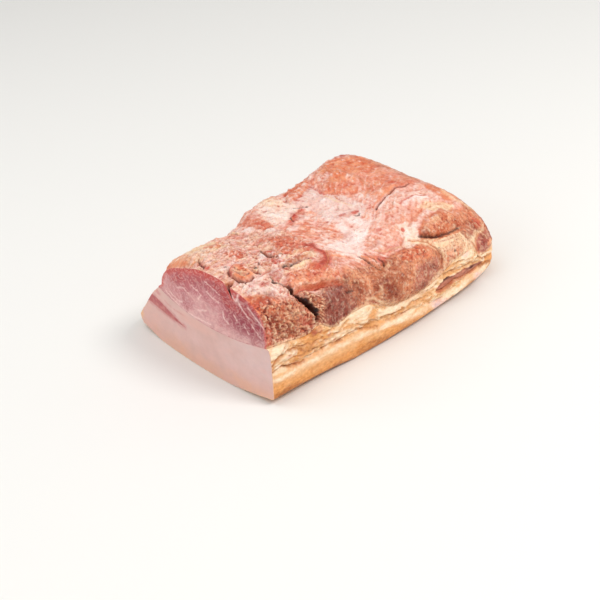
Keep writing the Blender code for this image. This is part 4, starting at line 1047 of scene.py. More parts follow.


# ---- the fat's skin --------------------------------------------------------------------------

# Creases in the right wall: path, depths along it, coverage, width below and above. Each fold is
# painted dark brown: painted shade, with some of the fat's own browning.
WALL_CREASES = (
    (((-125, 31), (-117, 34), (-110, 36.5), (-104, 35), (-97, 31.5)), (2, 2.2, 1.4), 0.95, 1.5,
     0.9),
    (((-125, 27), (-116, 27), (-109, 24), (-102, 21.5), (-96, 21.5)), (2, 2.2, 1.2), 0.95, 1.3,
     0.9),
    (((-125, 34), (-119, 34.5), (-114, 38), (-108, 41)), (1.2, 1.4, 1), 0.6, 1, 0.8),
    (((-125, 29), (-116, 30.5), (-106, 30), (-98, 27)), (0.9, 1, 0.6), 0.5, 0.9, 0.8),
    (((-104, 37), (-97, 33.5), (-88, 31.5), (-78, 32)), (1.3, 1.4, 0.8), 0.7, 1.2, 0.9),
    (((-100, 28), (-90, 26.5), (-80, 26.5)), (1, 1, 0.7), 0.6, 1.1, 0.9),
    (((-95, 23), (-84, 22.5), (-72, 23), (-60, 21)), (1.1, 1.2, 0.8), 0.6, 1.1, 0.8),
    (((-80, 29), (-71, 28), (-62, 30.5), (-54, 34)), (0.9, 1.1, 0.8), 0.5, 1, 0.8),
    (((-71, 33), (-62, 34.5), (-52, 38.5), (-42, 41.5)), (1.4, 1.2, 1), 0.6, 1, 0.9),
    (((-66, 22), (-56, 24), (-47, 23), (-38, 20), (-28, 17)), (1, 1.3, 1), 0.7, 1.1, 0.8),
    (((-53, 27), (-46, 27), (-40, 24.5)), (0.9, 1, 0.7), 0.5, 0.9, 0.8),
    (((-36, 26), (-31, 24), (-26, 21)), (1, 1.3, 0.8), 0.7, 1, 0.8),
    (((-29, 33), (-24, 30.5), (-18, 28)), (0.9, 1, 0.6), 0.5, 0.9, 0.8),
    (((-24, 22), (-8, 20), (10, 20.5), (24, 19)), (1, 1.2, 0.9), 0.6, 1.2, 0.9),
    (((-18, 17), (-4, 15.5), (10, 16)), (0.8, 0.9, 0.6), 0.45, 1, 0.8),
    (((16, 24), (26, 22.5), (34, 23.5)), (0.9, 1, 0.8), 0.6, 1, 0.8),
    (((38, 29), (48, 26.5), (58, 26), (68, 23.5), (80, 22)), (1.3, 1.4, 1), 0.7, 1.2, 0.9),
    (((54, 31), (64, 29.5), (72, 27)), (0.9, 1, 0.7), 0.5, 1, 0.8),
    (((82, 24), (88, 19.5), (96, 16.5), (104, 15)), (1.4, 1.6, 1.2), 0.85, 1.3, 0.9),
    (((86, 14), (94, 12.5), (104, 10)), (1.2, 1.4, 1), 0.85, 1.3, 0.9),
)

# Patches on the right wall, given like those on the dome.
WALL_PATCHES = (
    ("bright", (-117, 39.5), (9, 4.5), 1, 5, 1),
    ("bright", (-112, 32), (8, 2.2), 0.7, 12, 0.4),
    ("bright", (-118, 24.5), (8, 2), 0.7, -5, 0.3), ("tan", (-88, 36), (9, 6), 0.95, 0, 0.4),
    ("burnt", (-85, 38), (4, 4), 0.6), ("tan", (-96, 28), (13, 4), 0.75),
    ("burnt", (-93, 30), (9, 1.4), 0.5, -6), ("lean", (-84, 38), (2.4, 2.2), 0.8),
    ("lean", (-79, 38), (2, 3), 0.6), ("lean", (-91, 42), (2.4, 1.8), 0.7),
    ("lean", (-103, 22.5), (4, 1), 0.8, -15), ("lean", (-108, 32.5), (5, 0.9), 0.5),
    ("tan", (-77, 28), (8, 4), 0.6), ("bright", (-66, 26), (12, 3.4), 0.6, 0, 0.3),
    ("lean", (-68, 25.2), (1.4, 1), 0.9), ("lean", (-63, 22.2), (1.8, 1), 0.8),
    ("lean", (-72, 31.5), (2.5, 1), 0.6), ("bright", (-43, 36), (12, 5), 0.8, 12, 0.9),
    ("bright", (-38, 30), (8, 6), 0.5, 0, 0.4), ("tan", (-31, 28), (4, 5), 0.8, -40),
    ("burnt", (-35, 22), (4, 2), 0.7, -20), ("tan", (-31, 19), (11, 3), 0.7, -15),
    ("bright", (-23, 34.5), (2.4, 3), 1, 20, 0.8), ("bright", (-12, 25), (15, 3), 0.95, -6, 0.5),
    ("bright", (10, 23), (12, 2.4), 0.6, 0, 0.3), ("tan", (0, 18), (22, 2.2), 0.5),
    ("bright", (-2, 13.5), (20, 1.6), 0.8, 0, 0.3), ("bright", (28, 25), (8, 3), 0.7, 10, 0.4),
    ("tan", (47, 30), (12, 2.6), 0.7), ("bright", (49, 28), (6, 1.4), 0.6),
    ("bright", (71, 32), (8, 5), 0.95, 0, 0.9), ("rosy", (70, 34), (5, 3), 0.7),
    ("bright", (86, 24), (3, 5), 0.8, 25, 0.5), ("rosy", (41, 6), (12, 3.6), 0.8, -15),
    ("lilac", (38, 6), (5, 3), 0.7, -20), ("bright", (50, 10), (12, 2.4), 0.8, -10, 0.3),
    ("rosy", (88, 7), (11, 3.4), 0.8, -25), ("bright", (92, 9), (9, 1.8), 0.7, -25, 0.3),
    ("tan", (99, 13), (9, 2.6), 0.8, -10), ("tan", (106, 8), (5, 7), 0.6),
    ("tan", (20, 6), (10, 4), 0.5), ("burnt", (-113, 6), (11, 5), 0.75),
    ("burnt", (-34, 5.5), (16, 3.5), 0.5), ("bright", (89, 18.4), (3.4, 3), 1, 0, 0.4),
    ("burnt", (96, 12), (7, 1.2), 0.6, -8),
)


def wall_surface(x, z, floor):
    """The right wall's fat, by its place and the height of its bottom edge."""
    wall = Surface(x, z, FAT_TINTS, wander=0.7, seed=21)
    band = rind_height(x)
    upper = smooth(band - 1, band + 2.5, z)
    broad = layered(x / 18, z / 9, 221)
    u, v = slanted(x, z, -9, 12.0, 2.6)
    folds = noise(u + 0.5 * broad, v, 203)
    scraps = pillows(u * 1.5 + 0.4 * broad, v * 0.8, 205) + 0.4 * pillows(x / 3, z / 2.4, 207)
    small = layered(x / 2.4, z / 2.0, 213, 2)
    wall.lift += upper * (0.55 * folds + 0.9 * (scraps - 0.55)) + 0.3 * layered(x / 8, z / 6, 211)
    wall.lift += (0.07 + 0.13 * upper) * small
    wall.lift += 0.9 * smooth(88, 102, x) * layered(x / 8, z / 5, 215, 2)
    height = z - floor
    # tan down the band, dark brown near its foot: partly browning, partly painted shade
    wall.add("tan", (1 - upper) * unit(0.62 + 0.3 * broad + 0.6 * (1 - z / band)))
    wall.add("burnt", (1 - smooth(0.5, 7.0, height + 2.0 * broad)) * 0.8)
    # a bright line along the band's upper shoulder: painted highlight
    wall.add("bright", bell((z - 0.84 * band) / 2.2) * unit(0.75 + 0.5 * broad))
    wall.add("tan", upper * unit(0.34 + 0.6 * broad))
    pits = unit(1 - 2.6 * scraps) * upper
    # tan and dark brown in the pits between scraps: painted shade, with some browning
    wall.add("tan", pits * 0.9)
    wall.add("burnt", pits * 0.55)
    # the scraps' tops painted bright: painted highlight
    wall.add("bright", unit(1.6 * scraps - 0.95) * upper)
    wall.add("lean", unit(small - 0.75) * upper * 0.9)
    for patch in WALL_PATCHES:
        wall.patch(*patch)
    # dark brown along each crease: painted shade in the fold, with some browning
    for crease in WALL_CREASES:
        wall.crease("burnt", *crease)
    return wall


def slope_surface(x, q):
    """The fat's left slope, by the station and the share of the slope."""
    down = q * SLOPE_LENGTH
    slope = Surface(x, down, FAT_TINTS, wander=1.2, seed=33)
    broad = layered(x / 20, down / 12, 231)
    scraps = pillows(x / 9 + 0.4 * broad, down / 5, 235)
    slope.lift += (0.5 * layered(x / 8, down / 6, 331) + 0.7 * (scraps - 0.4)) * np.sin(np.pi * q)
    slope.add("bright", 0.45 + 0.5 * broad)
    slope.add("tan", smooth(0.45, 1.0, q + 0.1 * broad) * 0.75)
    slope.add("burnt", smooth(0.8, 1.05, q) * 0.5)
    # tan in the pits between the scraps: partly painted shade
    slope.add("tan", unit(1 - 2.4 * scraps) * 0.8)
    slope.add("rosy", unit(-broad) * 0.8)
    slope.add("lean", unit(layered(x / 5, down / 4, 233) - 0.5) * 0.9)
    upper, lower = streak_lips(x)
    near = np.minimum(np.abs(q - upper), np.abs(q - lower)) * SLOPE_LENGTH
    slope.add("lean", (1 - smooth(0.4, 2.4, near + broad)) * 0.7)
    return slope


def base_surface(x, y):
    """The underside: the pressed rind."""
    base = Surface(x, y, FAT_TINTS, seed=41)
    broad = layered(x / 26, y / 26, 241)
    base.add("tan", 0.6 + 0.4 * broad)
    base.add("burnt", 0.25 + 0.4 * broad)
    return base


def cut_fat_surface(y, z, from_streak):
    """The cut fat."""
    cut = Surface(y, z, FAT_TINTS, wander=0.6, seed=53)
    broad = layered(y / 22, z / 10, 251)
    cut.add("lilac", smooth(-20, -85, y) * smooth(6, 30, z) * 0.75)
    cut.add("low", (1 - smooth(2, 18, z + 3 * broad)) * 0.7)
    cut.add("rosy", smooth(20, 60, y) * 0.5 + unit(broad) * 0.3)
    cut.add("lean", (1 - smooth(0.2, 3.2, from_streak + 0.6 * broad)) * 0.75)
    cut.patch("lean", (45, 42.5), (5, 2.0), 0.75)
    cut.patch("rosy", (-6, 35), (24, 4.5), 0.7)
    cut.patch("tan", (82, 12), (7, 5), 0.8)
    cut.line("lean", ((34, 38.5), (20, 36.5), (4, 36)), (0.7, 0.5), 0.45)
    u, v = slanted(y, z, -12, 16.0, 1.6)
    cut.lift += 0.07 * noise(u, v, 305) + 0.12 * np.sin(0.35 * z + 0.08 * y)
    return cut


def streak_cut_surface(y, z):
    """The left streak where it is cut: deepest in its middle."""
    cut = Surface(y, z, STREAK_TINTS, seed=67)
    cut.add("core", 0.7 + 0.4 * layered(y / 8, z / 4, 327))
    return cut


def end_fat_surface(y, z):
    """The far end of the fat."""
    end = Surface(y, z, FAT_TINTS, seed=61)
    broad = layered(y / 18, z / 8, 321)
    scraps = pillows(y / 9, z / 5, 323)
    end.lift += 1.2 * layered(y / 16, z / 12, 325) + 0.8 * (scraps - 0.4)
    end.add("tan", 0.5 + 0.5 * broad)
    end.add("bright", 0.4 - 0.5 * broad)
    # dark brown in the pits, partly painted shade, and towards the bottom
    end.add("burnt", unit(1 - 2.4 * scraps) * 0.6 + (1 - smooth(1, 9, z)) * 0.5)
    return end


# ---- building the meshes ---------------------------------------------------------------------

class Shell:
    """One closed piece, gathered sheet by sheet as numbered points with painted tints."""

    def __init__(self, tint_names):
        self.points = []
        self.tints = {name: [] for name in tint_names}
        self.faces = []
        self.slots = []
        self.count = 0

    def add_points(self, x, y, z, *tint_sets):
        """Store points of any shape and return their numbers in that shape."""
        x, y, z = np.broadcast_arrays(x, y, z)
        flat = np.stack([x - ORIGIN[0], y - ORIGIN[1], z - ORIGIN[2]], -1).reshape(-1, 3) * MM
        self.points.append(flat)
        given = {name: value for tints in tint_sets for name, value in tints.items()}
        for name, stored in self.tints.items():
            value = given.get(name)
            stored.append(np.zeros(len(flat)) if value is None else np.ravel(value))
        numbers = np.arange(self.count, self.count + len(flat)).reshape(x.shape)
        self.count += len(flat)
        return numbers

    def place(self, x, y, z, *tint_sets):
        """Store points that are given by their stations along the slab."""
        return self.add_points(bend(x, y, z), y, z, *tint_sets)

    def sheet(self, numbers):
        """Faces between neighbouring rows and columns of a grid of points."""
        a, b = numbers[:-1, :-1], numbers[:-1, 1:]
        c, d = numbers[1:, 1:], numbers[1:, :-1]
        quads = np.stack([a, b, c, d], -1).reshape(-1, 4)
        self.faces.extend(quads.tolist())
        self.slots.extend([0] * len(quads))

    def close(self, chain, cut_at, end_at, cut_slot=1, cut_step=CAP_STEP, end_step=CAP_STEP):
        """Cap the cut and the far end of a ring of grids, which join one after another."""
        for row, surface_x, out, surface_at, slot, step in (
                (0, cut_x, -1, cut_at, cut_slot, cut_step), (-1, end_x, 1, end_at, 0, end_step)):
            loop = np.concatenate([grid[row][:-1] for grid in chain])
            self.cap(loop, surface_x, out, surface_at, slot, step)

    def cap(self, loop, surface_x, out, surface_at, slot, step):
        """Fill a section's loop with fine triangles. Relief goes out along -X (-1) or +X (1)."""
        everything = np.concatenate(self.points)
        outline = everything[loop][:, 1:] / MM + np.array(ORIGIN[1:])
        inner = inside_points(outline, step)
        flat = [Vector(p) for p in np.concatenate([outline, inner])]
        result = delaunay_2d_cdt(flat, [], [list(range(len(loop)))], 1, 1e-7)
        faces = result[2]
        first = np.array([min(origin) if origin else -1 for origin in result[3]])
        places = np.array(result[0])
        fresh = (first < 0) | (first >= len(loop))
        y, z = places[fresh, 0], places[fresh, 1]
        surface = surface_at(y, z)
        inward = smooth(0.0, 4.0, distance_to_loop(y, z, outline))
        x = surface_x(y, z) + out * surface.lift * inward
        numbers = np.zeros(len(places), int)
        numbers[fresh] = self.add_points(x, y, z, surface.settled())
        numbers[~fresh] = loop[first[~fresh]]
        self.faces.extend([[int(numbers[i]) for i in face] for face in faces])
        self.slots.extend([slot] * len(faces))

    def finish(self, name, node, slot, materials):
        """Turn the gathered points into an object that stands for a node."""
        data = bpy.data.meshes.new(name)
        data.from_pydata(np.concatenate(self.points).tolist(), [], self.faces)
        data.polygons.foreach_set("material_index", self.slots)
        for tint, stored in self.tints.items():
            attribute = data.attributes.new(tint, "FLOAT", "POINT")
            values = unit(np.concatenate(stored)).astype(np.float32)
            attribute.data.foreach_set("value", values)
        mesh = bmesh.new()
        mesh.from_mesh(data)
        bmesh.ops.recalc_face_normals(mesh, faces=mesh.faces[:])
        for face in mesh.faces:
            face.smooth = True
        for edge in mesh.edges:
            sides = {face.material_index for face in edge.link_faces}
            edge.smooth = len(sides) == 1
        mesh.to_mesh(data)
        mesh.free()
        for material in materials:
            data.materials.append(material)
        piece = add_object(name, data)
        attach(piece, "root")
        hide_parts(node)
        return piece


def add_object(name, data):
    """Put a mesh, a lamp or a camera into the scene."""
    made = bpy.data.objects.new(name, data)
    bpy.context.scene.collection.objects.link(made)
    return made


def inside_points(outline, step):
    """Evenly scattered points inside a loop and clear of its line."""
    low, high = outline.min(0), outline.max(0)
    y, z = np.meshgrid(np.arange(low[0], high[0], step),
                       np.arange(low[1], high[1], step * CAP_ROW), indexing="ij")
    y = y + 0.5 * step * (np.arange(y.shape[1]) % 2)[None, :]
    y, z = y.ravel(), z.ravel()
    keep = within(y, z, outline) & (distance_to_loop(y, z, outline) > CAP_CLEARANCE * step)
    return np.stack([y[keep], z[keep]], -1)


def within(y, z, outline):
    """Whether each place lies inside a loop."""
    hits = np.zeros(np.shape(y), int)
    for a, b in zip(outline, np.roll(outline, -1, axis=0)):
        if a[1] == b[1]:
            continue
        spans = (a[1] > z) != (b[1] > z)
        crossing = a[0] + (z - a[1]) * (b[0] - a[0]) / (b[1] - a[1])
        hits += spans & (crossing > y)
    return hits % 2 == 1


def distance_to_loop(y, z, outline):
    """Distance to a closed loop of straight lines."""
    near = np.full(np.shape(y), FAR_AWAY)
    for a, b in zip(outline, np.roll(outline, -1, axis=0)):
        run, rise = b - a
        size = max(run * run + rise * rise, 1e-9)
        t = unit(((y - a[0]) * run + (z - a[1]) * rise) / size)
        near = np.minimum(near, np.hypot(y - a[0] - t * run, z - a[1] - t * rise))
    return near


def distance_to_line(y, z, line):
    """Distance to an open line, taken from its densely spaced points."""
    near = np.full(np.shape(y), FAR_AWAY)
    for a in line[::2]:
        near = np.minimum(near, np.hypot(y - a[0], z - a[1]))
    return near


def stations():
    """Rows along the slab as one column, with the rounded end's rows by equal turns."""
    straight = np.arange(CUT_X, END_X - END_ROUND, ROW_STEP)
    rolled = END_X - END_ROUND * (1 - np.sin(np.radians(ROLL_TURNS)))
    return np.concatenate([straight, rolled])[:, None]


def dome_places(rows, columns):
    """For rows at stations and columns at shares of the girth: x, s, girth and section angle."""
    table = np.linspace(0, 1, SECTION_STEPS)
    x, t = np.meshgrid(rows, table, indexing="ij")
    y, z = dome_section(x, t)
    length = np.hypot(np.diff(y), np.diff(z)).cumsum(axis=1)
    length = np.concatenate([np.zeros((len(rows), 1)), length], axis=1)
    s = length[:, -1:] * columns
    pick = np.stack([np.interp(a, b, table) for a, b in zip(s, length)])
    return np.broadcast_to(rows, s.shape), s, length[:, -1:], pick


def interface_points(shell, rows):
    """The inner columns of the face between fat and lean."""
    share = np.linspace(0, 1, HIDDEN_COLUMNS)[1:-1]
    x, share = np.meshgrid(rows, share, indexing="ij")
    y = right_foot_y(x) * (1 - share) + left_foot_y(x) * share
    z = interface_z(x, share)
    return shell.place(x, y, z)


def make_lean(rows, skin, cut):
    """The dome of lean, with its browned skin and its cut face."""
    shell = Shell(SKIN_TINTS + CUT_TINTS)
    seen = np.linspace(0, SEEN_SHARE, SEEN_COLUMNS + 1)[:-1]
    far = np.linspace(SEEN_SHARE, 1, FAR_COLUMNS + 1)
    x, s, girth, pick = dome_places(rows, np.concatenate([seen, far]))
    y, z = dome_section(x, pick)
    after = dome_section(x, unit(pick + TURN_STEP))
    before = dome_section(x, unit(pick - TURN_STEP))
    dy, dz = after[0] - before[0], after[1] - before[1]
    size = np.hypot(dy, dz)
    surface = dome_surface(x, s)
    lift = surface.lift * smooth(0.0, 3.5, s) * smooth(0.0, RELIEF_FADE, girth - s)
    y, z = y - dz / size * lift, z + dy / size * lift
    slit = notch_depth(surface.x, s)
    y, z = y + NOTCH_RUN[0] * slit, z + NOTCH_RUN[1] * slit
    surface.calm(smooth(0.2, 1.5, slit))
    # down the notch: brown, umber, then near black: painted shade in the slit
    surface.add("brown", smooth(0.4, 1.2, slit))
    surface.add("umber", smooth(1.2, 2.6, slit))
    surface.add("dark", smooth(3.0, 6.0, slit) * 0.9)
    rim = {"rim": np.full(x.shape, 0.8)}
    dome = shell.place(x, y, z, surface.settled(), rim)
    under = interface_points(shell, rows)
    under = np.concatenate([dome[:, :1], under, dome[:, -1:]], axis=1)
    shell.sheet(dome)
    shell.sheet(under)
    skin_line = np.stack([y[0], z[0]], -1)

    def cut_at(v, w):
        return cut_surface(v, w, distance_to_line(v, w, skin_line))

    shell.close([dome, under[:, ::-1]], cut_at, end_surface, cut_step=FINE_CAP_STEP)
    return shell.finish("lean", "lean_meat", "lean", [skin, cut])


def make_fat(rows, skin, cut):
    """The bed of fat: wall, slope, underside and the slots for the two streaks."""
    shell = Shell(FAT_TINTS)
    upper_lip, lower_lip = streak_lips(rows)
    wall = wall_points(shell, rows)
    interface = interface_points(shell, rows)
    top = slope_points(shell, rows, 0.0, upper_lip, UPPER_SLOPE_COLUMNS)
    slot_upper = streak_points(shell, rows, 1)
    slot_lower = streak_points(shell, rows, -1)[:, ::-1]
    below = slope_points(shell, rows, lower_lip, 1.0, LOWER_SLOPE_COLUMNS)
    base = base_points(shell, rows)
    interface = np.concatenate([wall[:, -1:], interface, top[:, :1]], axis=1)
    slot_upper = np.concatenate([top[:, -1:], slot_upper], axis=1)
    slot_lower = np.concatenate([slot_upper[:, -1:], slot_lower, below[:, :1]], axis=1)
    base = np.concatenate([below[:, -1:], base, wall[:, :1]], axis=1)
    chain = [wall, interface, top, slot_upper, slot_lower, below, base]
    for grid in chain:
        shell.sheet(grid)
    share = np.linspace(0, 1, STREAK_LINE_POINTS)
    faces = [np.stack(streak_surface(CUT_X, share, side), -1) for side in (1, -1)]
    streak_line = np.concatenate(faces)

    def cut_at(v, w):
        return cut_fat_surface(v, w, distance_to_line(v, w, streak_line))

    shell.close(chain, cut_at, end_fat_surface)
    return shell.finish("fat", "fat_layer", "fat", [skin, cut])


def slope_points(shell, rows, first, last, columns):
    """A part of the fat's left slope, between two shares of its length."""
    q = first + (last - first) * np.linspace(0, 1, columns + 1)
    x = np.broadcast_to(rows, q.shape)
    y, z = shelf_point(x, q)
    surface = slope_surface(x, q)
    lift = surface.lift * smooth(0, 0.06, q) * smooth(0, 0.08, 1 - q)
    y, z = y + 0.6 * lift, z + 0.8 * lift
    return shell.place(x, y, z, surface.settled())


def streak_points(shell, rows, side):
    """A face of the streak's slot, without its line on the slope and, below, without its tip."""
    w = np.linspace(0, 1, SLOT_COLUMNS + 1)[1:]
    w = w if side > 0 else w[:-1]
    x, w = np.meshgrid(rows, w, indexing="ij")
    y, z = streak_surface(x, w, side)
    return shell.place(x, y, z, {"lean": np.full(x.shape, 0.6)})


def base_points(shell, rows):
    """The underside between the left tip and the right wall's bottom corner."""
    start = left_edge(rows) - TIP_INSET
    stop = right_edge(rows) + corner_radius(rows)
    ends = (start, *flat_edges(rows), stop)
    parts = [a + (b - a) * np.linspace(0, 1, columns)[1:]
             for a, b, columns in zip(ends, ends[1:], BASE_COLUMNS)]
    y = np.concatenate([start, *parts], axis=1)[:, :-1]
    x = np.broadcast_to(rows, y.shape)
    z = base_lift(x, y)
    z[:, 0] = TIP_Z - TIP_ROUND
    return shell.place(x, y, z, base_surface(x, y).settled())


def strip_section(x):
    """Middle height, half thickness and depth of the right strip, which has two lobes."""
    share = np.clip((x - STRIP_START) / (STRIP_END - STRIP_START), 0.03, 0.97)
    middle = curve(x, (34, 18.5), (45, 19.5), (52, 19.5), (60, 18.5), (70, 17.5), (78, 17.2),
                   (90, 15.4))
    half = curve(x, (34, 0.7), (38, 2.8), (45, 3.9), (50, 2.8), (55, 1.9), (62, 2.7), (72, 3.0),
                 (82, 2.0), (90, 0.7))
    return middle, half, np.sin(np.pi * share)**0.6


def wall_points(shell, rows):
    """The right wall, from the bottom corner up to the ledge and the lean's foot."""
    corner = corner_radius(rows)
    turn = np.radians(np.linspace(0, 90, 7))
    low_y = right_edge(rows) + corner - corner * np.sin(turn)
    low_z = corner * (1 - np.cos(turn)) + base_lift(rows, low_y)
    top = right_foot_z(rows)
    rise = np.linspace(0, 1, WALL_COLUMNS)[1:]
    up_z = low_z[:, -1:] + (top - LEDGE_ROUND - low_z[:, -1:]) * rise
    up_y = right_edge(rows) + LEDGE_FOLD * ledge_width(rows) * rise**6
    over = np.array([0.35, 0.7, 1.0])
    reach = LEDGE_FOLD + (1 - LEDGE_FOLD) * over
    over_y = right_edge(rows) + ledge_width(rows) * reach
    over_z = top - LEDGE_ROUND + LEDGE_ROUND * np.sin(np.pi / 2 * over)
    y = np.concatenate([low_y, up_y, over_y], axis=1)
    z = np.concatenate([low_z, up_z, over_z], axis=1)
    x = np.broadcast_to(rows, y.shape)
    above, below = z - low_z[:, :1], top - z
    surface = wall_surface(x, z, low_z[:, :1])
    straight = 0.2 + 0.8 * smooth(CUT_X, CUT_X + 7.0, x)
    lift = wall_relief(x, z) * smooth(0.5, 4.0, above) * smooth(0.0, 5.0, below)
    lift = lift + surface.lift * straight * smooth(0.3, 3.0, above) * smooth(0.0, 2.0, below)
    middle, half, deep = strip_section(x)
    inside = (x > STRIP_START - 1) & (x < STRIP_END + 1)
    gap = np.abs(z - middle) - half
    slot = np.where(inside, 1 - smooth(-0.5, 0.7, gap), 0.0)
    y = y - lift * (1 - slot) + slot * (SLOT_TIP_DEPTH + (STRIP_DEPTH - SLOT_TIP_DEPTH) * deep)
    lip = np.where(inside, 1 - smooth(0.2, 1.4, gap + 0.5 * noise(x / 3, z / 3, 347)), 0)
    surface.add("lean", lip * 0.8)
    return shell.place(x, y, z, surface.settled())


def make_left_streak(rows, surface):
    """The thin layer of lean that shows at the cut and along the left slope."""
    shell = Shell(STREAK_TINTS)
    x, w = np.meshgrid(rows, np.linspace(0, 1, STREAK_COLUMNS), indexing="ij")
    upper_y, upper_z = streak_surface(x, w, 1)
    lower_y, lower_z = streak_surface(x, w, -1)
    core = {"core": np.full(x.shape, 0.15)}
    upper = shell.place(x, upper_y, upper_z, core)
    lower = shell.place(x[:, :-1], lower_y[:, :-1], lower_z[:, :-1])
    lower = np.concatenate([lower, upper[:, -1:]], axis=1)
    part = np.linspace(0, 1, STREAK_FACE_COLUMNS)[1:-1]
    first, last = streak_lips(rows)
    q = first + (last - first) * part
    fx = np.broadcast_to(rows, q.shape)
    face_y, face_z = shelf_point(fx, q)
    spotty = layered(fx / 9, q * 12, 329)
    face_core = {"core": unit(0.5 * np.sin(np.pi * part) + 0.5 * spotty),
                 "edge": unit(-spotty - 0.35)}
    face = shell.place(fx, face_y, face_z, face_core)
    face = np.concatenate([upper[:, :1], face, lower[:, :1]], axis=1)
    for grid in (upper, lower, face):
        shell.sheet(grid)
    shell.close([upper, lower[:, ::-1], face[:, ::-1]], streak_cut_surface, streak_cut_surface, 0,
                FINE_CAP_STEP, FINE_CAP_STEP)
    return shell.finish("streak_left", "lean_streak_left", "streak", [surface])


def make_right_strip(surface):
    """The strip of dark lean in its slot near the far end."""
    shell = Shell(STREAK_TINTS)
    rows = np.linspace(STRIP_START, STRIP_END, STRIP_ROWS)[:, None]
    middle, half, deep = strip_section(rows)
    half = half - GAP
    outer = right_edge(rows) + STRIP_RECESS
    inner = right_edge(rows) + STRIP_TIP_DEPTH + (STRIP_DEPTH - STRIP_TIP_DEPTH) * deep
    inner = inner - STRIP_CLEARANCE
    v = np.linspace(-1, 1, STRIP_FRONT_COLUMNS)
    front_y = outer + STRIP_ROUND * v**4
    front_z = middle + half * v
    turn = np.radians(np.linspace(90, -90, STRIP_BACK_COLUMNS))
    back_y = inner - half + half * np.cos(turn)
    back_z = middle + half * np.sin(turn)
    y = np.concatenate([front_y, back_y], axis=1)
    z = np.concatenate([front_z, back_z], axis=1)
    x = np.broadcast_to(rows, y.shape)
    height = np.concatenate([v, np.ones(len(turn))])
    front = 1 - np.abs(height)**3
    bumps = 0.6 * layered(x / 5, z / 3, 341) + 0.3 * noise(x / 2, z / 2, 343)
    y = y - bumps * front
    # near black along the front's top near x 45: painted shadow under the slot's lip
    upper = bell((x - 45) / 5) * smooth(0.1, 0.8, height)
    line = bell((x - 75) / 4.5) * bell((height - 0.2) / 0.3)
    core = front * (0.55 + 0.5 * layered(x / 7, z / 2.5, 345))
    ring = shell.place(x, y, z, {"core": core, "edge": upper + line})
    shell.sheet(np.concatenate([ring, ring[:, :1]], axis=1))
    for row in (0, -1):
        shell.faces.append(ring[row].tolist())
        shell.slots.append(0)
    return shell.finish("streak_right", "lean_streak_right", "dark_lean", [surface])


# ---- materials -------------------------------------------------------------------------------

GRAIN_SHIFT = (0.037, 0.011, 0.023)  # metres between one noise and the next
GRAIN_ROUGHNESS = 0.55
RAGGED = 2.4                        # how far a half-covered place breaks up
VEIN_TOP = 1.6
VEIN_FALL = 8.0
MOIST_ROUGHNESS = 0.3
SHINE = 0.3
SCATTER = (1.0, 0.35, 0.2)          # how far red, green and blue light go in, by each other


class Value:
    """A socket that carries a number over the surface, with arithmetic."""

    def __init__(self, finish, socket):
        self.finish = finish
        self.socket = socket

    def __add__(self, other):
        return self.finish.math("ADD", self, other)

    __radd__ = __add__

    def __mul__(self, other):
        return self.finish.math("MULTIPLY", self, other)

    __rmul__ = __mul__

    def __sub__(self, other):
        return self.finish.math("SUBTRACT", self, other)

    def __rsub__(self, other):
        return self.finish.math("SUBTRACT", other, self)

    def __abs__(self):
        return self.finish.math("ABSOLUTE", self, 0.0)


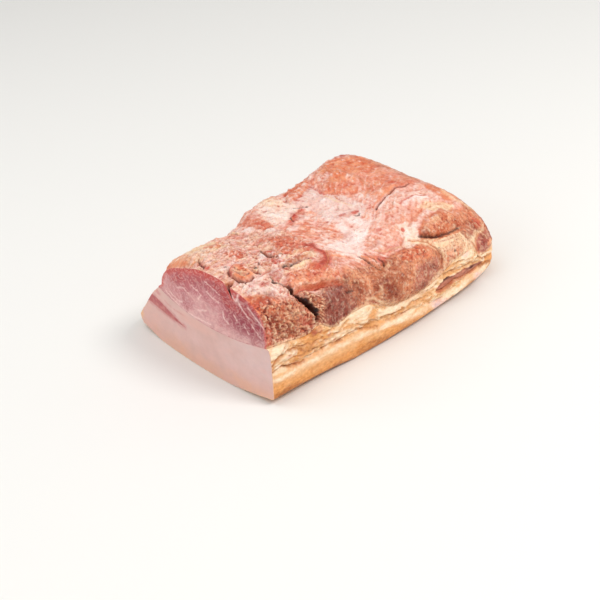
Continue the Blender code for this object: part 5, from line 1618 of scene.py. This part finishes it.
class Finish:
    """The nodes of one material."""

    def __init__(self, name):
        self.material = bpy.data.materials.new(name)
        self.material.use_nodes = True
        self.tree = self.material.node_tree
        self.shader = self.tree.nodes["Principled BSDF"]
        self.place = self.node("ShaderNodeTexCoord", out="Object")
        self.grains = 0

    def node(self, kind, settings=None, sockets=None, out=0):
        """Make a node, set its settings and then its sockets, and give one of its outputs."""
        made = self.tree.nodes.new(kind)
        for key, value in (settings or {}).items():
            setattr(made, key, value)
        for key, value in (sockets or {}).items():
            self.feed(made.inputs[key], value)
        return Value(self, made.outputs[out])

    def feed(self, socket, value):
        """Join a value to a socket, or set the socket to a plain one."""
        if isinstance(value, Value):
            self.tree.links.new(value.socket, socket)
        else:
            socket.default_value = value

    def math(self, operation, a, b):
        return self.node("ShaderNodeMath", {"operation": operation}, {0: a, 1: b})

    def clamped(self, value):
        return self.node("ShaderNodeClamp", None, {0: value})

    def tint(self, name):
        """A tint that is painted on the vertices."""
        return self.node("ShaderNodeAttribute", {"attribute_name": name}, out="Fac")

    def grain(self, size, stretch=(1, 1, 1), turn=0.0, detail=2.0, warp=0.0, spread=2.4):
        """Noise over the whole range from 0 to 1, whose lumps are a size in millimetres across."""
        self.grains += 1
        shift_x, shift_y, shift_z = GRAIN_SHIFT
        place = self.node("ShaderNodeMapping", None, {
            "Vector": self.place,
            "Location": (shift_x * self.grains, shift_y, shift_z * self.grains),
            "Rotation": (0.0, 0.0, math.radians(turn)), "Scale": stretch})
        made = self.node("ShaderNodeTexNoise", None, {
            "Vector": place, "Scale": 0.5 / (size * MM), "Detail": detail,
            "Roughness": GRAIN_ROUGHNESS, "Distortion": warp})
        return self.clamped((made - 0.5) * spread + 0.5)

    def cover(self, name, grain):
        """A tint's coverage, whose half-covered places break up with the grain."""
        tint = self.tint(name)
        return self.clamped(tint + (grain - 0.5) * RAGGED * tint * (1 - tint))

    def veins(self, size, width, stretch=(1, 1, 1), turn=0.0):
        """Thin winding lines, some millimetres apart, as wide as a share of that."""
        line = self.grain(size, stretch, turn, detail=1.0, warp=1.5, spread=1.0)
        return self.clamped(VEIN_TOP - abs(line - 0.5) * (VEIN_FALL / width))

    def mix(self, under, over, share, how="MIX"):
        """One colour laid over another by a share, or multiplied into it."""
        return self.node("ShaderNodeMix", {"data_type": "RGBA", "blend_type": how},
                         {0: share, 6: colour(under), 7: colour(over)}, out=2)

    def shade(self, base, grain, dark, light):
        """Darken and lighten a colour by the grain."""
        factor = grain * (light - dark) + dark
        grey = self.node("ShaderNodeCombineColor", None, {0: factor, 1: factor, 2: factor})
        return self.mix(base, grey, 1.0, "MULTIPLY")

    def bump(self, height, distance, strength=1.0, under=None):
        """Fine relief as high as a distance in millimetres, over another bump or none."""
        sockets = {"Height": height, "Distance": distance * MM, "Strength": strength}
        if under is not None:
            sockets["Normal"] = under
        return self.node("ShaderNodeBump", None, sockets)


def colour(value):
    """A colour named by its screen values from 0 to 255, as the linear one that nodes take."""
    if isinstance(value, Value):
        return value
    share = [v / 255 for v in value]
    return (*[v / 12.92 if v <= 0.04045 else ((v + 0.055) / 1.055)**2.4 for v in share], 1.0)


def flesh(finish, base, roughness, normal, coat, scatter=0.08, depth=1.2):
    """Set the shader of moist meat or fat, with its scatter's share and depth in millimetres."""
    shader = finish.shader.inputs
    finish.feed(shader["Base Color"], base)
    finish.feed(shader["Roughness"], roughness)
    finish.feed(shader["Normal"], normal)
    finish.feed(shader["Coat Weight"], coat)
    shader["Coat Roughness"].default_value = MOIST_ROUGHNESS
    shader["Subsurface Weight"].default_value = scatter
    shader["Subsurface Radius"].default_value = SCATTER
    shader["Subsurface Scale"].default_value = depth * MM
    shader["Specular IOR Level"].default_value = SHINE
    return finish.material


# Each tint's darker and lighter colour. The near-black dark is painted shade, laid only in
# creases, pits, dents, the front crevice and the notch.
SKIN_COLOURS = {
    "white": ((248, 208, 196), (255, 242, 236)), "orange": ((212, 92, 48), (250, 168, 122)),
    "brown": ((156, 68, 40), (234, 146, 98)), "mauve": ((132, 52, 42), (206, 122, 104)),
    "cream": ((238, 182, 136), (255, 230, 194)), "red": ((174, 46, 32), (226, 104, 80)),
    "umber": ((98, 30, 14), (146, 58, 32)), "dark": ((28, 8, 6), (72, 24, 14)),
}
# The dark brown tint is partly browning and partly painted shade in folds, pits and low edges.
FAT_COLOURS = {
    "tan": ((218, 140, 72), (234, 168, 102)), "burnt": ((158, 86, 36), (194, 120, 62)),
    "rosy": ((238, 194, 178), (246, 210, 198)), "bright": ((248, 216, 178), (253, 232, 204)),
    "lilac": ((206, 172, 172), (222, 190, 186)), "lean": ((186, 96, 66), (212, 128, 96)),
}
# The top's own colours, darker specks laid by a fine grain, and pale flecks and strands on it:
# the strands are fat, the flecks partly fat and partly painted glints of wet shine.
SALMON = ((216, 116, 92), (250, 188, 164))
DARK_SPECK = (180, 88, 66)
FLECK = (255, 222, 192)
# The pale, deep and dark colours of the streaks; the strip's dark is partly painted shadow.
STREAK_COLOURS = ((214, 140, 132), (184, 84, 88), (120, 40, 40))
STRIP_COLOURS = ((206, 140, 116), (170, 96, 76), (64, 24, 16))


def lay(f, base, tints, colours, grain, within):
    """Lay each tint over the base, in its two colours."""
    for name in tints:
        dark, light = colours[name]
        base = f.mix(base, f.mix(dark, light, within), f.cover(name, grain))
    return base


def lean_skin_finish():
    """Cooked skin: salmon and cream above, brown on the side, red and painted shade in creases."""
    f = Finish("lean_skin")
    fine, spots = f.grain(0.9, detail=3.0), f.grain(1.8, detail=3.0, warp=0.5)
    cloud = f.grain(5.0, detail=4.0)
    base = f.mix(*SALMON, spots)
    base = lay(f, base, ("orange", "white", "brown", "mauve"), SKIN_COLOURS, spots, cloud)
    base = lay(f, base, ("cream", "red"), SKIN_COLOURS, f.grain(1.5, detail=3.0, warp=0.6), spots)
    rough = f.tint("rough")
    # darker specks by a fine grain, most where the skin is rough
    specks = f.clamped((0.44 - f.grain(1.1, detail=3.0, warp=0.4)) * 3.5) * (0.1 + rough * 0.9)
    base = f.mix(base, DARK_SPECK, specks, "MULTIPLY")
    base = f.mix(base, DARK_SPECK, specks * f.clamped((0.4 - cloud) * 4.0) * rough, "MULTIPLY")
    # pale flecks, partly fat and partly painted glints of wet shine, and strands of fat
    fleck = f.grain(1.2, stretch=(1, 0.45, 1), turn=25, detail=3.0, warp=0.4)
    fleck = f.clamped((fleck - 0.60) * 4.0)
    strand = f.veins(3.4, 0.3) * f.clamped(cloud * 1.4 - 0.3)
    pale = f.clamped(fleck * 0.7 + strand * 0.4) * (0.12 + rough * 0.55)
    base = f.mix(base, FLECK, pale)
    base = lay(f, base, ("umber", "dark"), SKIN_COLOURS, spots, fine)
    base = f.shade(base, fine, 0.90 - rough * 0.16, 1.05 + rough * 0.08)
    base = f.shade(base, spots, 0.96 - rough * 0.12, 1.02 + rough * 0.08)
    moist = f.clamped(0.06 + cloud * 0.22)
    normal = f.bump(spots + pale, 0.45, 0.8, f.bump(fine, 0.25, 0.6))
    return flesh(f, base, 0.62 - cloud * 0.18, normal, moist)


def lean_cut_finish():
    """The sliced muscle: smooth mauve pink with a fine grain and pale seams."""
    f = Finish("lean_cut")
    fibre = f.grain(0.9, stretch=(1, 0.35, 1.0))
    cloud = f.grain(6.0, detail=4.0)
    base = f.mix((186, 99, 106), (209, 131, 135), cloud)
    base = f.mix(base, (230, 182, 178), f.cover("pale", cloud))
    base = f.mix(base, (150, 50, 66), f.cover("deep", cloud))
    base = f.mix(base, (202, 66, 54), f.cover("rim", f.grain(1.6, detail=3.0)))
    threads = f.veins(4.0, 0.35, stretch=(1, 1, 1.6))
    base = f.mix(base, (250, 214, 206), f.clamped(f.tint("seam") * 0.8 + threads * 0.25))
    base = f.shade(base, fibre, 0.93, 1.05)
    normal = f.bump(fibre, 0.10, 0.5)
    return flesh(f, base, 0.45 + cloud * 0.12, normal, 0.12 + cloud * 0.1, 0.12, 1.6)


def fat_skin_finish():
    """The fat's outside: cream; tan and dark brown creases, partly painted shade; rosy places."""
    f = Finish("fat_skin")
    fine = f.grain(0.9, stretch=(0.7, 0.7, 1.2), detail=3.0)
    spots = f.grain(2.2, stretch=(0.6, 0.6, 1.3), detail=3.0, warp=0.6)
    base = f.mix((238, 186, 134), (250, 212, 168), spots)
    base = lay(f, base, ("tan", "burnt", "bright", "rosy", "lilac"), FAT_COLOURS, spots, fine)
    base = lay(f, base, ("lean",), FAT_COLOURS, f.grain(1.4, detail=3.0), fine)
    base = f.shade(base, fine, 0.90, 1.06)
    normal = f.bump(spots, 0.35, 0.6, f.bump(fine, 0.2, 0.6))
    return flesh(f, base, 0.58 - spots * 0.16, normal, f.clamped(0.06 + spots * 0.16), 0.1, 2.0)


def fat_cut_finish():
    """The sliced fat: smooth and pinkish white."""
    f = Finish("fat_cut")
    fine = f.grain(1.4, stretch=(1, 0.5, 1))
    cloud = f.grain(9.0, detail=3.0)
    base = f.mix((217, 175, 166), (229, 189, 182), cloud)
    base = f.mix(base, (240, 188, 136), f.cover("tan", cloud))
    base = f.mix(base, (231, 180, 168), f.tint("rosy"))
    base = f.mix(base, (224, 192, 188), f.cover("lilac", cloud))
    base = f.mix(base, (230, 176, 150), f.cover("low", cloud))
    base = f.mix(base, (208, 124, 122), f.cover("lean", f.grain(2.0, detail=3.0)) * 0.85)
    base = f.shade(base, fine, 0.97, 1.02)
    return flesh(f, base, 0.42 + cloud * 0.12, f.bump(fine, 0.08, 0.4), 0.12, 0.15, 2.4)


def streak_finish(name, pale, deep, dark):
    """A layer of lean inside the fat, deeper in its middle, dark in cracks and painted shadow."""
    f = Finish(name)
    fine = f.grain(1.0, detail=3.0)
    spots = f.grain(2.0, detail=3.0)
    base = f.mix(pale, deep, f.cover("core", spots))
    base = f.mix(base, dark, f.cover("edge", fine))
    base = f.shade(base, fine, 0.88, 1.08)
    return flesh(f, base, 0.48 + fine * 0.12, f.bump(fine, 0.25, 0.6), 0.12)


# ---- floor, light and camera -----------------------------------------------------------------

CAMERA_PLACE = (-0.48846, -0.69613, 0.48475)
CAMERA_AXES = ((0.7695, 0.4156, -0.4850), (-0.6210, 0.3094, -0.7202), (-0.1493, 0.8553, 0.4961))
CAMERA_LENS = 73.14                 # mm, on a sensor 36 mm wide
CAMERA_SENSOR = 36.0
CAMERA_NEAREST = 0.01
FLOOR_HALF = 6.0                    # metres
FLOOR_Z = -0.0002
FLOOR_TONE = (240, 239, 236)
FLOOR_ROUGHNESS = 0.8
TENT_TONE = (1.0, 0.995, 0.985, 1.0)
TENT_STRENGTH = 0.62
WHITE = (1.0, 1.0, 1.0)
# The lamps: name, place, the place they are aimed at, size, power in watts, tone.
LAMPS = (
    ("key", (0.5, -1.1, 1.3), (0, 0, 0.04), 0.6, 15.0, (1.0, 0.985, 0.96)),
    ("top", (-0.3, 0.4, 1.6), (0, 0, 0.04), 1.0, 3.0, WHITE),
    ("front", (-1.3, -0.3, 0.7), (-0.1, 0, 0.04), 0.8, 2.0, WHITE),
    ("left", (-0.8, 1.0, 0.9), (-0.05, 0.05, 0.05), 0.8, 2.5, WHITE),
)


def make_camera():
    """The photograph's view: from the cut end's right, looking down by thirty degrees."""
    data = bpy.data.cameras.new("camera")
    data.lens = CAMERA_LENS
    data.sensor_width = CAMERA_SENSOR
    data.clip_start = CAMERA_NEAREST
    camera = add_object("camera", data)
    place = Matrix(CAMERA_AXES).to_4x4()
    place.translation = Vector(CAMERA_PLACE)
    camera.matrix_world = place
    bpy.context.scene.camera = camera


def make_floor():
    """A wide plain sheet, just under the slab."""
    data = bpy.data.meshes.new("floor")
    sides = ((-1, -1), (1, -1), (1, 1), (-1, 1))
    corners = [(x * FLOOR_HALF, y * FLOOR_HALF, FLOOR_Z) for x, y in sides]
    data.from_pydata(corners, [], [(0, 1, 2, 3)])
    floor = add_object("floor", data)
    f = Finish("floor")
    f.shader.inputs["Base Color"].default_value = colour(FLOOR_TONE)
    f.shader.inputs["Roughness"].default_value = FLOOR_ROUGHNESS
    data.materials.append(f.material)


def make_lamp(name, place, aim, size, power, tone):
    """A round soft lamp that shines at a place."""
    data = bpy.data.lights.new(name, "AREA")
    data.shape = "DISK"
    data.size = size
    data.energy = power
    data.color = tone
    lamp = add_object(name, data)
    lamp.location = place
    direction = Vector(aim) - Vector(place)
    lamp.rotation_euler = direction.to_track_quat("-Z", "Y").to_euler()


def make_light():
    """A bright tent: even light all round, with a broad key from the right and above."""
    world = bpy.data.worlds.new("studio")
    world.use_nodes = True
    background = world.node_tree.nodes["Background"]
    background.inputs["Color"].default_value = TENT_TONE
    background.inputs["Strength"].default_value = TENT_STRENGTH
    bpy.context.scene.world = world
    for lamp in LAMPS:
        make_lamp(*lamp)
    bpy.context.scene.view_settings.view_transform = "Standard"


# ---- making it all ---------------------------------------------------------------------------

make_camera()
make_floor()
make_light()
rows = stations()
make_lean(rows, lean_skin_finish(), lean_cut_finish())
make_fat(rows, fat_skin_finish(), fat_cut_finish())
make_left_streak(rows[::STREAK_ROW_STEP], streak_finish("streak", *STREAK_COLOURS))
make_right_strip(streak_finish("strip", *STRIP_COLOURS))
